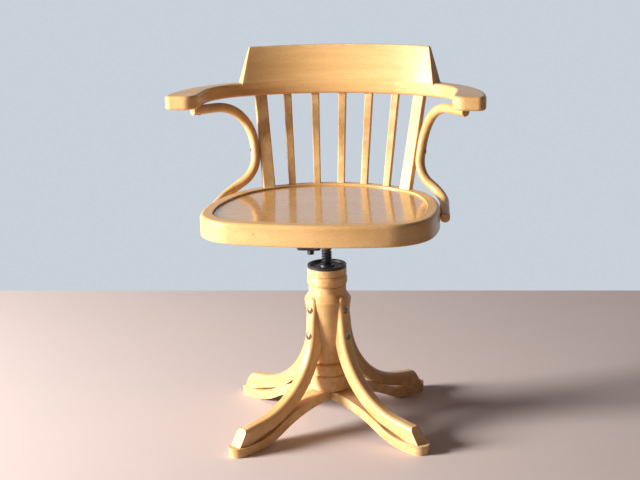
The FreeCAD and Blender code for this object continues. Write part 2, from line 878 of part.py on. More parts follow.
def leg_bolt_tools(angle):
    """Return the two radial holes of a leg's bolts, each with a flat seat for its head."""
    radius = size("leg_bolt_radius") + size("running_gap")
    seat_radius = size("leg_bolt_head") + size("rod_gap")
    tools = []
    for alias in ("leg_bolt_high", "leg_bolt_low"):
        height = size(alias)
        face = point(leg_bolt_face(height), 0, height)
        outwards = point(size("leg_thick"), 0)
        inner_end = point(size("leg_bolt_end") - size("screw_hole_spare"), 0, height)
        hole = rod(inner_end, face + outwards, radius)
        hole = hole.fuse(rod(face, face + outwards, seat_radius))
        hole.rotate(point(0, 0), UP, angle)
        tools.append(hole)
    return tools


def leg_bolt(angle, alias):
    """Return a domed bolt with a slotted head."""
    height = size(alias)
    face = leg_bolt_face(height)
    head_radius = size("leg_bolt_head")
    dome = size("leg_bolt_dome")
    ball = (head_radius ** 2 + dome ** 2) / (2.0 * dome)
    round_head = Part.makeSphere(ball, point(face + dome - ball, 0, height))
    keep = rod(point(face, 0, height), point(face + dome, 0, height), head_radius)
    in_head = point(face + dome / 3.0, 0, height)
    shank = rod(point(size("leg_bolt_end"), 0, height), in_head, size("leg_bolt_radius"))
    slot_floor = face + dome * size("leg_bolt_slot_share")
    slot_corner = point(slot_floor, -size("slot_width") / 2.0, height - 2 * head_radius)
    slot = Part.makeBox(dome, size("slot_width"), 4 * head_radius, slot_corner)
    bolt = round_head.common(keep).cut(slot).fuse(shank).removeSplitter()
    bolt.rotate(point(0, 0), UP, angle)
    return bolt


def foot_screw_line(angle):
    """Return the head and tip of the screw that comes up through a rail into a leg's foot."""
    reach = (size("leg_foot_reach") + size("leg_heel_reach")) / 2.0
    spin = FreeCAD.Rotation(UP, angle)
    head = spin.multVec(point(reach, 0, size("foot_screw_sink")))
    tip = spin.multVec(point(reach, 0, size("rail_thick") + size("foot_screw_bite")))
    return head, tip


def make_leg(name, angle):
    """Make one leg with its rounded edges and screw holes."""
    body = new_body(name + "_curve")
    sketch = new_sketch(body, "XZ")
    draw(sketch, leg_edges(0.0))
    pad(body, sketch, dim("leg_width"), both_ways=True)
    top = size("leg_top_height")
    half = size("leg_width") / 2.0
    round_edges(body, dim("leg_width") / 2.0 - dim("round_shy"),
                lambda edge: is_level(edge, top) and edge.BoundBox.YLength < 1e-4)

    def outside(edge):
        middle = edge.valueAt((edge.FirstParameter + edge.LastParameter) / 2.0)
        near = (middle - point(size("leg_curve_reach"), middle.y, size("leg_curve_height"))).Length
        return abs(abs(middle.y) - half) < 1e-3 and near < size("leg_curve_radius") + 1.0

    round_edges(body, dim("leg_edge_round"), outside)
    turned_placement(body, "Sizes.base_turn + %s" % angle)
    turn = angle + size("base_turn")
    tools = leg_bolt_tools(turn)
    tools.append(screw_hole(*foot_screw_line(turn), size("screw_radius"), size("screw_head")))
    return compound_cut(name, body, tools)


for name, angle in zip(LEG_NAMES, LEG_ANGLES):
    pieces.append(make_leg(name, angle))

turned = [angle + size("base_turn") for angle in LEG_ANGLES]
column_tools = [housing_tool(angle) for angle in turned]
for angle in turned:
    column_tools.extend(leg_bolt_tools(angle))
nut_screws = []
for index in range(3):
    spin = FreeCAD.Rotation(UP, 120.0 * index + 30.0)
    low = size("column_top") + size("flange_thick") - size("dish_depth")
    head = spin.multVec(point(size("nut_screw_circle"), 0, low))
    tip = spin.multVec(point(size("nut_screw_circle"), 0, low - size("nut_screw_length")))
    nut_screws.append((head, tip))
nut_screw_tools = small_screw_holes(nut_screws)
pieces.append(compound_cut("column", turned_column, column_tools + nut_screw_tools))

foot_screws = [foot_screw_line(angle) for angle in turned]
foot_tools = small_screw_holes(foot_screws)
pieces.append(compound_cut("cross_rail_a", rail_a, foot_tools))
pieces.append(compound_cut("cross_rail_b", rail_b, foot_tools))

# Iron nut: a dished flange on the column with a barrel down its bore

nut = new_body("nut_casting")
nut_top = dim("column_top") + dim("flange_thick")
dish_floor = nut_top - dim("dish_depth")
barrel_foot = dim("column_top") - dim("barrel_length")
thread_bore = dim("thread_radius") + dim("running_gap")
turn_body(nut, [
    (thread_bore, barrel_foot),
    (dim("barrel_radius"), barrel_foot),
    (dim("barrel_radius"), dim("column_top")),
    (dim("flange_radius"), dim("column_top")),
    (dim("flange_radius"), nut_top - dim("turned_edge")),
    (dim("flange_radius") - dim("turned_edge"), nut_top),
    (dim("dish_radius") + dim("turned_edge"), nut_top),
    (dim("dish_radius"), nut_top - dim("turned_edge")),
    (dim("dish_radius") - dim("dish_slope"), dish_floor),
    (dim("boss_radius"), dish_floor),
    (dim("boss_radius") - dim("turned_edge"), nut_top - dim("turned_edge")),
    (thread_bore, nut_top - dim("turned_edge")),
])
pieces.append(compound_cut("column_nut", nut, nut_screw_tools))

# Screw spindle with its smooth journal, stop washer and swivel bush

spindle_bar = new_body("spindle_bar")
turn_body(spindle_bar, [
    (ZERO, dim("spindle_foot")),
    (dim("thread_root_radius") - dim("turned_edge"), dim("spindle_foot")),
    (dim("thread_root_radius"), dim("spindle_foot") + dim("turned_edge")),
    (dim("thread_root_radius"), dim("spindle_shoulder") - dim("turned_edge") * 2.0),
    (dim("thread_radius"), dim("spindle_shoulder") - dim("turned_edge") * 2.0),
    (dim("thread_radius"), dim("spindle_shoulder")),
    (dim("journal_radius"), dim("spindle_shoulder")),
    (dim("journal_radius"), dim("journal_top") - dim("turned_edge")),
    (dim("journal_radius") - dim("turned_edge"), dim("journal_top")),
    (ZERO, dim("journal_top")),
])
thread = new_sketch(spindle_bar, "XZ")
thread_start = dim("spindle_foot") + dim("thread_start_gap")
root = dim("thread_root_radius") - dim("thread_sink")
flank = dim("thread_lead") * dim("thread_flank_share")
crest_flat = dim("thread_lead") * dim("thread_crest_share")
draw_bound(thread, [
    (root, thread_start - flank),
    (dim("thread_radius"), thread_start - crest_flat),
    (dim("thread_radius"), thread_start + crest_flat),
    (root, thread_start + flank),
])
winding = spindle_bar.newObject("PartDesign::AdditiveHelix", "thread_winding")
winding.Profile = thread
winding.ReferenceAxis = (thread, ["V_Axis"])
winding.Mode = "pitch-height-angle"
winding.setExpression("Pitch", "Sizes.thread_lead")
winding.setExpression("Height", "Sizes.spindle_shoulder - Sizes.spindle_foot - 2 * Sizes.thread_lead")
doc.recompute()
print("thread: valid %s, volume %.0f" % (spindle_bar.Shape.isValid(), spindle_bar.Shape.Volume))

stop_washer = new_body("stop_washer")
turn_body(stop_washer, [
    (dim("screw_radius") + dim("running_gap"), dim("spindle_foot") - dim("stop_thick")),
    (dim("stop_radius"), dim("spindle_foot") - dim("stop_thick")),
    (dim("stop_radius"), dim("spindle_foot")),
    (dim("screw_radius") + dim("running_gap"), dim("spindle_foot")),
])
pieces.append(stop_washer)
stop_head = point(0, 0, size("spindle_foot") - size("stop_thick"))
stop_screw_line = (stop_head - UP * size("stop_head_thick"), stop_head + UP * size("stop_screw_length"))
spindle_hole_top = stop_screw_line[1] + UP * size("screw_hole_spare")
spindle_tools = [rod(stop_head, spindle_hole_top, size("screw_radius") + size("running_gap"))]
pieces.append(compound_cut("spindle", spindle_bar, spindle_tools))

bush = new_body("swivel_bush")
bush_bore = dim("journal_radius") + dim("running_gap")
bush_seat = dim("spindle_shoulder") + dim("bush_flange_thick")
turn_body(bush, [
    (bush_bore, dim("spindle_shoulder")),
    (dim("bush_flange_radius"), dim("spindle_shoulder")),
    (dim("bush_flange_radius"), bush_seat),
    (dim("bush_radius"), bush_seat),
    (dim("bush_radius"), dim("journal_top") + dim("turned_edge")),
    (bush_bore, dim("journal_top") + dim("turned_edge")),
])
pieces.append(bush)

# Seat iron: hub, ear for the lever and a four-armed spider under the battens

panel_foot = dim("rim_top") - dim("panel_sink") - dim("panel_thick")
batten_foot = panel_foot - dim("batten_thick")
spider_foot = batten_foot - dim("spider_thick")
hub = new_body("seat_hub_casting")
turn_body(hub, [
    (dim("bush_radius") + dim("running_gap"), bush_seat),
    (dim("hub_radius") - dim("turned_edge"), bush_seat),
    (dim("hub_radius"), bush_seat + dim("turned_edge")),
    (dim("hub_radius"), spider_foot - dim("hub_flare_height")),
    (dim("hub_radius") + dim("hub_flare"), spider_foot),
    (dim("hub_radius") + dim("hub_flare"), batten_foot),
    (ZERO, batten_foot),
    (ZERO, dim("journal_top") + dim("hub_end_gap")),
    (dim("bush_radius") + dim("running_gap"), dim("journal_top") + dim("hub_end_gap")),
])
ear = new_sketch(hub, "XY", bush_seat)
ear_half = dim("ear_width") / 2.0
draw_bound(ear, [
    (-dim("ear_reach"), -ear_half),
    (-(dim("hub_radius") - dim("ear_overlap")), -ear_half),
    (-(dim("hub_radius") - dim("ear_overlap")), ear_half),
    (-dim("ear_reach"), ear_half),
])
pad(hub, ear, dim("ear_thick"))
spider_angle = math.atan2(size("spider_reach_y"), size("spider_reach_x"))
spider_length = math.hypot(size("spider_reach_x"), size("spider_reach_y"))


def spider_arm(side_x, side_y):
    """Return one flat arm of the spider with its rounded end."""
    width = size("spider_width")
    low = spider_foot.value
    bar = Part.makeBox(spider_length, width, size("spider_thick"), point(0, -width / 2.0, low))
    tip = rod(point(spider_length, 0, low), point(spider_length, 0, batten_foot.value), width / 2.0)
    arm = bar.fuse(tip)
    arm.rotate(point(0, 0), UP, math.degrees(math.atan2(side_y * math.sin(spider_angle),
                                                         side_x * math.cos(spider_angle))))
    return arm


corners = [(1, 1), (-1, 1), (-1, -1), (1, -1)]
arms = [spider_arm(*corner) for corner in corners]
spider_screws = []
for side_x, side_y in corners:
    head = point(side_x * size("spider_reach_x"), side_y * size("spider_reach_y"), spider_foot.value)
    spider_screws.append((head, head + UP * (size("spider_thick") + size("screw_bite"))))
spider_screw_tools = small_screw_holes(spider_screws)
spider = doc.addObject("Part::Feature", "spider_arms")
core_spare = size("screw_hole_spare")
core_foot = point(0, 0, spider_foot.value - core_spare)
core_top = point(0, 0, batten_foot.value + core_spare)
core = rod(core_foot, core_top, size("bush_radius") + core_spare)
spider.Shape = arms[0].multiFuse(arms[1:]).cut(core).removeSplitter()
hub_whole = doc.addObject("Part::Fuse", "seat_hub_whole")
hub_whole.Base = hub
hub_whole.Tool = spider
doc.recompute()
pivot_top = bush_seat.value + size("ear_thick") + size("pivot_end_proud")
pivot_low = bush_seat.value - size("lever_thick")
pivot_hole = rod(point(-size("lever_pivot"), 0, bush_seat.value - 1.0),
                 point(-size("lever_pivot"), 0, pivot_top), size("pivot_radius") + size("running_gap"))
pieces.append(compound_cut("seat_hub", hub_whole, spider_screw_tools + [pivot_hole]))

# Lock lever and its pivot bolt

lever = new_body("lock_lever")
lever_outline = new_sketch(lever, "XY", bush_seat - dim("lever_thick"))
lever_half = size("lever_width") / 2.0
pivot = point(-size("lever_pivot"), 0)
nose_end = pivot.x + size("lever_nose") - lever_half
tail_end = pivot.x - size("lever_tail") + lever_half
draw(lever_outline, [
    line(point(tail_end, -lever_half), point(nose_end, -lever_half)),
    arc(point(nose_end, 0), lever_half, -90.0, 90.0),
    line(point(nose_end, lever_half), point(tail_end, lever_half)),
    arc(point(tail_end, 0), lever_half, 90.0, 270.0),
])
pad(lever, lever_outline, dim("lever_thick"))
lever_hole = new_sketch(lever, "XY", bush_seat)
draw_circle(lever_hole, -dim("lever_pivot"), ZERO, dim("pivot_radius") + dim("running_gap"))
pocket(lever, lever_hole)
low_edge = bush_seat.value - size("lever_thick")
round_edges(lever, dim("lever_round"), lambda edge: is_level(edge, low_edge)
            and abs(edge.BoundBox.Center.x - pivot.x) > size("pivot_radius"))
pieces.append(lever)

pivot_head = hexagon_head(pivot, size("pivot_head_radius"), 30.0)
pivot_head = pivot_head.extrude(UP * size("pivot_head_thick"))
pivot_head.translate(UP * (pivot_low - size("pivot_head_thick")))
pivot_in_head = point(pivot.x, 0, pivot_low - size("pivot_head_thick") / 2.0)
pivot_shank = rod(pivot_in_head, point(pivot.x, 0, pivot_top), size("pivot_radius"))
pieces.append(add_shape("lever_pivot_bolt", pivot_head.fuse(pivot_shank).removeSplitter()))

# Seat rim, panel and battens

rim = new_body("seat_rim_bent")
rim_foot = dim("rim_top") - dim("rim_height")
rim_plan = new_sketch(rim, "XY", rim_foot)
draw(rim_plan, seat_outline(0.0))
pad(rim, rim_plan, dim("rim_height"))
lip = new_sketch(rim, "XY", dim("rim_top"))
draw(lip, seat_outline(size("rim_width")))
pocket(rim, lip, dim("panel_sink") + dim("panel_thick"))
opening = new_sketch(rim, "XY", rim_foot)
draw(opening, seat_outline(size("rim_width") + size("rim_ledge")))
pocket(rim, opening)
seat_middle = point(0, (size("seat_back") - size("seat_front")) / 2.0)


def beyond(edge, inset):
    """Return whether an edge lies outside the seat outline moved in by an inset."""
    middle = edge.valueAt((edge.FirstParameter + edge.LastParameter) / 2.0)
    nearest = min(Part.Vertex(middle.x, middle.y, 0).distToShape(side.toShape())[0]
                  for side in seat_outline(inset))
    return nearest < 1e-3


round_edges(rim, dim("rim_top_round"), lambda edge: is_level(edge, size("rim_top")) and beyond(edge, 0.0))
round_edges(rim, dim("rim_bottom_round"), lambda edge: is_level(edge, rim_foot.value) and beyond(edge, 0.0))
round_edges(rim, dim("rim_lip_round"), lambda edge: is_level(edge, size("rim_top"))
            and beyond(edge, size("rim_width")))

panel = new_body("seat_panel_board")
panel_plan = new_sketch(panel, "XY", panel_foot)
draw(panel_plan, seat_outline(size("rim_width") + size("panel_gap")))
pad(panel, panel_plan, dim("panel_thick"))
panel_top = size("rim_top") - size("panel_sink")
round_edges(panel, dim("rim_lip_round"), lambda edge: is_level(edge, panel_top))

batten_screws = []
panel_holes = []
for name, side in (("batten_front", -1), ("batten_back", 1)):
    batten = new_body(name + "_bar")
    plan = new_sketch(batten, "XY", batten_foot)
    near = dim("batten_place") * side - dim("batten_width") / 2.0
    far = dim("batten_place") * side + dim("batten_width") / 2.0
    room = min(room_inside(near.value), room_inside(far.value)) - size("batten_gap")
    reach = Dim(room, repr(room))
    draw_bound(plan, [(-reach, near), (reach, near), (reach, far), (-reach, far)])
    pad(batten, plan, dim("batten_thick"))
    holes = []
    for share in (-0.8, -0.4, 0.4, 0.8):
        depth = side * (size("batten_place") + size("batten_screw_offset"))
        head = point(share * reach.value, depth, batten_foot.value + size("batten_screw_sink"))
        tip = point(share * reach.value, depth, panel_foot.value + size("panel_bite"))
        batten_screws.append((head, tip))
        holes.append(screw_hole(head, tip, size("screw_radius"), size("screw_head")))
    panel_holes.extend(holes)
    pieces.append(compound_cut(name, batten, holes + spider_screw_tools))
pieces.append(compound_cut("seat_panel", panel, panel_holes))

# Uprights: two wide posts and five slats, with round tenons at both ends

places = upright_places()
for name, foot, top in places:
    is_post = name.startswith("post")
    foot_width = size("post_width") if is_post else size("slat_foot_width")
    top_width = size("post_width") if is_post else size("slat_top_width")
    thick = size("post_thick") if is_post else size("slat_thick")
    sideways, back = across_upright(top)
    sections = []
    for centre, width in ((foot, foot_width), (top, top_width)):
        across = sideways * (width / 2.0)
        deep = back * (thick / 2.0)
        sections.append(Part.makePolygon([
            centre - across - deep,
            centre + across - deep,
            centre + across + deep,
            centre - across + deep,
            centre - across - deep,
        ]))
    blank = Part.makeLoft(sections, True, True)
    long_edges = [edge for edge in blank.Edges if edge.BoundBox.ZLength > 1.0]
    blank = blank.makeFillet(size("upright_edge_round"), long_edges)
    stick = blank.multiFuse(tenon_tools(size("tenon_radius"), [(name, foot, top)]))
    if is_post:
        side = 1 if top.x > 0 else -1
        belly_screw = support_screw_lines(side)[1]
        stick = stick.cut(screw_hole(*belly_screw, size("screw_radius"), size("screw_head")))
    pieces.append(add_shape(name, stick.removeSplitter()))

sockets = tenon_tools(size("tenon_radius") + size("tenon_gap"), places)
support_screws = support_screw_lines(1) + support_screw_lines(-1)
support_holes = small_screw_holes(support_screws)
pieces.append(compound_cut("seat_rim", rim, sockets + support_holes))

# Hoop: a back rail and two arms that widen into paddles, cut from boards of one thickness

arm_foot = dim("arm_top") - dim("arm_thick")
middle_radius = size("hoop_radius") + size("hoop_width") / 2.0
joint_angle = 90.0 - math.degrees(math.asin(size("hoop_joint") / middle_radius))
inner_radius = size("hoop_radius")
outer_radius = size("hoop_radius") + size("hoop_width")


def hoop_sector(start, end):
    """Return the closed plan of the hoop's back arc between two angles."""
    centre = hoop_centre()
    return [
        arc(centre, outer_radius, start, end),
        line(on_circle(centre, outer_radius, end), on_circle(centre, inner_radius, end)),
        arc(centre, inner_radius, end, start),
        line(on_circle(centre, inner_radius, start), on_circle(centre, outer_radius, start)),
    ]


back_rail = new_body("back_rail_bent")
plan = new_sketch(back_rail, "XY", arm_foot)
draw(plan, hoop_sector(joint_angle, 180.0 - joint_angle))
pad(back_rail, plan, dim("arm_thick"))
round_edges(back_rail, dim("arm_edge_round"), lambda edge: is_level(edge, arm_foot.value)
            and edge.BoundBox.XLength > size("hoop_joint"))
pieces.append(compound_cut("back_rail", back_rail, sockets))

crest_angle = 90.0 - math.degrees(math.asin(size("crest_half_length") / inner_radius))


def arm_plan():
    """Return the right arm's closed plan, from the joint round the paddle and back."""
    outer_reach = size("arm_outer_reach")
    inner_reach = outer_reach - size("paddle_width")
    front = arm_front()
    outer_bend = size("arm_outer_radius")
    outer_centre, outer_angle = side_bend(outer_radius, outer_bend, outer_reach)
    inner_centre, inner_bend, inner_angle = inner_arm_bend()
    outer_corner = size("arm_outer_corner")
    inner_corner = size("arm_inner_corner")
    corner_y = front + outer_corner
    corner_out = math.sqrt((outer_bend - outer_corner) ** 2 - (outer_centre.y - corner_y) ** 2)
    outer_round = point(outer_centre.x + corner_out, corner_y)
    inner_round = point(inner_reach + inner_corner, front + inner_corner)
    leave = angle_of(outer_round - outer_centre)
    centre = hoop_centre()
    return [
        arc(centre, outer_radius, joint_angle, outer_angle),
        arc(outer_centre, outer_bend, outer_angle, leave),
        arc(outer_round, outer_corner, leave, -90.0),
        line(outer_round - point(0, outer_corner), inner_round - point(0, inner_corner)),
        arc(inner_round, inner_corner, 270.0, 180.0),
        line(inner_round - point(inner_corner, 0), point(inner_reach, inner_centre.y)),
        arc(inner_centre, inner_bend, 0.0, inner_angle),
        arc(centre, inner_radius, inner_angle, joint_angle),
        line(on_circle(centre, inner_radius, joint_angle), on_circle(centre, outer_radius, joint_angle)),
    ]


def mirrored(edges):
    """Return the edges mirrored to the left side."""
    flipped = []
    for edge in edges:
        middle = edge.value((edge.FirstParameter + edge.LastParameter) / 2.0)
        ends = [point(-spot.x, spot.y) for spot in (edge.StartPoint, middle, edge.EndPoint)]
        if isinstance(edge, Part.LineSegment):
            flipped.append(line(ends[0], ends[2]))
        else:
            flipped.append(Part.Arc(*ends))
    return flipped


def arm_geometry(side):
    """Return the plan of the right (+1) or left (-1) arm as plain edges."""
    return arm_plan() if side > 0 else mirrored(arm_plan())


for name, side in (("arm_left", -1), ("arm_right", 1)):
    arm = new_body(name + "_board")
    plan = new_sketch(arm, "XY", arm_foot)
    draw(plan, arm_geometry(side))
    pad(arm, plan, dim("arm_thick"))
    cut_x = side * size("hoop_joint")

    def long_edge(edge):
        box = edge.BoundBox
        level = is_level(edge, size("arm_top")) or is_level(edge, arm_foot.value)
        return level and abs(box.Center.x - cut_x) > size("hoop_width") / 2.0

    round_edges(arm, dim("arm_edge_round"), long_edge)
    ledge = new_sketch(arm, "XY", arm_foot + dim("arm_thick") / 2.0)
    sector = hoop_sector(crest_angle, joint_angle)
    draw(ledge, sector if side > 0 else mirrored(sector))
    pad(arm, ledge, dim("arm_thick") / 2.0)
    pieces.append(compound_cut(name, arm, sockets + support_holes))

# Crest rail: a tapered board bent to the hoop, with slanted ends

crest_bend = new_body("crest_bend")
crest_foot = dim("arm_top")
crest_top = dim("arm_top") + dim("crest_height")
crest_inner = dim("hoop_radius")
crest_tip = dim("crest_top_thick") / 2.0
crest_profile = new_sketch(crest_bend, "XZ")
inner_top = crest_inner + dim("crest_lean")
draw_bound(crest_profile, [
    (crest_inner, crest_foot),
    (crest_inner + dim("crest_foot_thick"), crest_foot),
    (inner_top + dim("crest_top_thick"), crest_top - crest_tip),
    (inner_top + dim("crest_tip_outer"), crest_top),
    (inner_top + dim("crest_tip_inner"), crest_top),
    (inner_top, crest_top - crest_tip),
])
crest_turning = crest_bend.newObject("PartDesign::Revolution", "crest_turning")
crest_turning.Profile = crest_profile
crest_turning.ReferenceAxis = (crest_profile, ["V_Axis"])
crest_turning.Angle = 120.0
crest_turning.Midplane = True
crest_bend.Placement = FreeCAD.Placement(hoop_centre(), FreeCAD.Rotation(UP, 90.0))


def crest_wedge_section(half_length, radius, height):
    """Return a wedge from the hoop's centre past both ends of the crest, at one height."""
    spread = math.degrees(math.asin(half_length / radius))
    reach = (size("hoop_radius") + size("hoop_width")) * 2.0
    centre = hoop_centre()
    right = on_circle(centre, reach, 90.0 - spread)
    left = on_circle(centre, reach, 90.0 + spread)
    return Part.makePolygon([corner + UP * height for corner in (centre, right, left, centre)])


low_section = crest_wedge_section(size("crest_half_length"), size("hoop_radius"), crest_foot.value)
high_section = crest_wedge_section(size("crest_half_length") - size("crest_end_slant"),
                                   size("hoop_radius") + size("crest_lean"), crest_top.value)
crest_front = add_shape("crest_wedge", Part.makeLoft([low_section, high_section], True, True))
crest = doc.addObject("Part::Common", "crest_rail")
crest.Base = crest_bend
crest.Tool = crest_front
crest.Label = "crest_rail"
doc.recompute()
pieces.append(crest)

# Bent arm supports and the screws that hold everything

for name, side in (("arm_support_left", -1), ("arm_support_right", 1)):
    pieces.append(add_shape(name, rod_shape(side).cut(Part.makeCompound(support_holes))))


def screw_group(name, lines):
    """Return one node of identical countersunk screws."""
    screws = [screw(head, tip, size("screw_radius"), size("screw_head")) for head, tip in lines]
    return add_shape(name, Part.makeCompound(screws))


pieces.append(screw_group("support_screws", support_screws))
pieces.append(screw_group("spider_screws", spider_screws))
pieces.append(screw_group("batten_screws", batten_screws))
pieces.append(screw_group("foot_screws", foot_screws))
pieces.append(screw_group("nut_screws", nut_screws))
leg_bolts = [leg_bolt(angle, alias) for angle in turned for alias in ("leg_bolt_high", "leg_bolt_low")]
pieces.append(add_shape("leg_bolts", Part.makeCompound(leg_bolts)))
stop_shank = rod(stop_screw_line[0], stop_screw_line[1], size("screw_radius"))
stop_cap = rod(stop_screw_line[0], stop_head, size("screw_head"))
pieces.append(add_shape("stop_screw", stop_cap.fuse(stop_shank).removeSplitter()))

head_top = size("rail_rise") - size("centre_bolt_gap")
head_foot = head_top - size("centre_bolt_head_thick")
bolt_head = hexagon_head(point(0, 0), size("centre_bolt_head"), 0.0)
bolt_head = bolt_head.extrude(UP * size("centre_bolt_head_thick"))
bolt_head.translate(UP * head_foot)
bolt_in_head = point(0, 0, head_foot + size("centre_bolt_head_thick") / 2.0)
bolt_tip = point(0, 0, size("rail_rise") + size("centre_bolt_length"))
bolt_shank = rod(bolt_in_head, bolt_tip, size("centre_bolt_radius"))
pieces.append(add_shape("centre_bolt", bolt_head.fuse(bolt_shank).removeSplitter()))

# Check every object, set the origin under the middle of the footprint, write the files

doc.recompute()
for thing in doc.Objects:
    if "Invalid" in thing.State or "Error" in thing.State:
        raise RuntimeError("%s is not up to date: %s" % (thing.Label, thing.State))
whole = FreeCAD.BoundBox()
for piece in pieces:
    if piece.Shape.isNull() or not piece.Shape.isValid():
        raise RuntimeError("%s has no valid shape" % piece.Label)
    whole.add(piece.Shape.optimalBoundingBox(False))
to_origin = FreeCAD.Placement(point(-whole.Center.x, -whole.Center.y, -whole.ZMin), FreeCAD.Rotation())
print("swivel axis at x %.3f y %.3f, floor %.3f" % (-whole.Center.x, -whole.Center.y, whole.ZMin))
print("overall %.1f x %.1f x %.1f mm" % (whole.XLength, whole.YLength, whole.ZLength))
os.makedirs("parts", exist_ok=True)
for piece in pieces:
    shape = piece.Shape.copy()
    shape.Placement = to_origin.multiply(shape.Placement)
    shape.exportStep("parts/%s.step" % piece.Label)
    print("%-20s solids %d volume %9.0f" % (piece.Label, len(shape.Solids), shape.Volume))
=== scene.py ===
"""Looks of a bent-wood swivel chair: lacquered beech, a glossy veneer seat and black iron.

Every length is in metres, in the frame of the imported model.
"""

import logging
import math
from dataclasses import dataclass
from enum import Enum
from typing import Callable, Dict, List, Optional, Sequence, Tuple, Union

import bmesh
import bpy
from mathutils import Matrix, Vector


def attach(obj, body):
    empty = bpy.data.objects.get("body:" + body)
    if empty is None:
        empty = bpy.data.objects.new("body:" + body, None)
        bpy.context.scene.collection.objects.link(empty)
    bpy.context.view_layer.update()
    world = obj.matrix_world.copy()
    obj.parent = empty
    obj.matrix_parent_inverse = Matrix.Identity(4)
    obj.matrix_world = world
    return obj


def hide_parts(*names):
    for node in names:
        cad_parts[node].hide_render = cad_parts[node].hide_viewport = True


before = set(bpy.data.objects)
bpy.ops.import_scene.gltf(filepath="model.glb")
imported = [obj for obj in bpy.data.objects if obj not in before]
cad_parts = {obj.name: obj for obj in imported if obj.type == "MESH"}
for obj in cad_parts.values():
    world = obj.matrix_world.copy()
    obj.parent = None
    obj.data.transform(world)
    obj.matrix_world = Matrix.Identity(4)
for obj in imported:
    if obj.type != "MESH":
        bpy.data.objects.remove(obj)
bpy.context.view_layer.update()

log = logging.getLogger("chair")

Colour = Tuple[float, float, float]
Amount = Union[float, "Wire"]
Key = Union[int, str]

AXIS_Y = -0.008446
BASE_TURN = math.radians(9.0)
HOOP_BACK = 0.201
HOOP_RADIUS = 0.385


class Grain(Enum):
    """Which way the wood's fibres run in a piece."""

    ALONG_X = "along x"
    ALONG_Y = "along y"
    ALONG_Z = "along z"
    HOOP = "round the hoop"
    SEAT = "round the seat"
    LEG = "round a leg's curve"
    RAIL = "along a rail"


class Wire:
    """A shader socket that takes part in sums written as Python expressions."""

    def __init__(self, board: "Board", socket: Optional[bpy.types.NodeSocket]) -> None:
        """Keep the board and the socket.

        Args:
            board: The node tree that the socket belongs to.
            socket: The output socket, or None for a node without outputs.
        """
        self.board = board
        self.socket = socket

    def _sum(self, operation: str, first: Amount, second: Amount) -> "Wire":
        """Return one Math node's result.

        Args:
            operation: The Math node's operation.
            first: The first value.
            second: The second value.

        Returns:
            The result as a Wire.
        """
        return self.board.node("ShaderNodeMath", {"operation": operation}, {0: first, 1: second})

    def __add__(self, other: Amount) -> "Wire":
        """Add."""
        return self._sum("ADD", self, other)

    def __radd__(self, other: Amount) -> "Wire":
        """Add to a number."""
        return self._sum("ADD", other, self)

    def __sub__(self, other: Amount) -> "Wire":
        """Subtract."""
        return self._sum("SUBTRACT", self, other)

    def __rsub__(self, other: Amount) -> "Wire":
        """Subtract from a number."""
        return self._sum("SUBTRACT", other, self)

    def __mul__(self, other: Amount) -> "Wire":
        """Multiply."""
        return self._sum("MULTIPLY", self, other)

    def __rmul__(self, other: Amount) -> "Wire":
        """Multiply a number."""
        return self._sum("MULTIPLY", other, self)

    def sibling(self, name: Key) -> "Wire":
        """Return another output of the same node.

        Args:
            name: The output's name or number.

        Returns:
            That output as a Wire.
        """
        return Wire(self.board, self.socket.node.outputs[name])


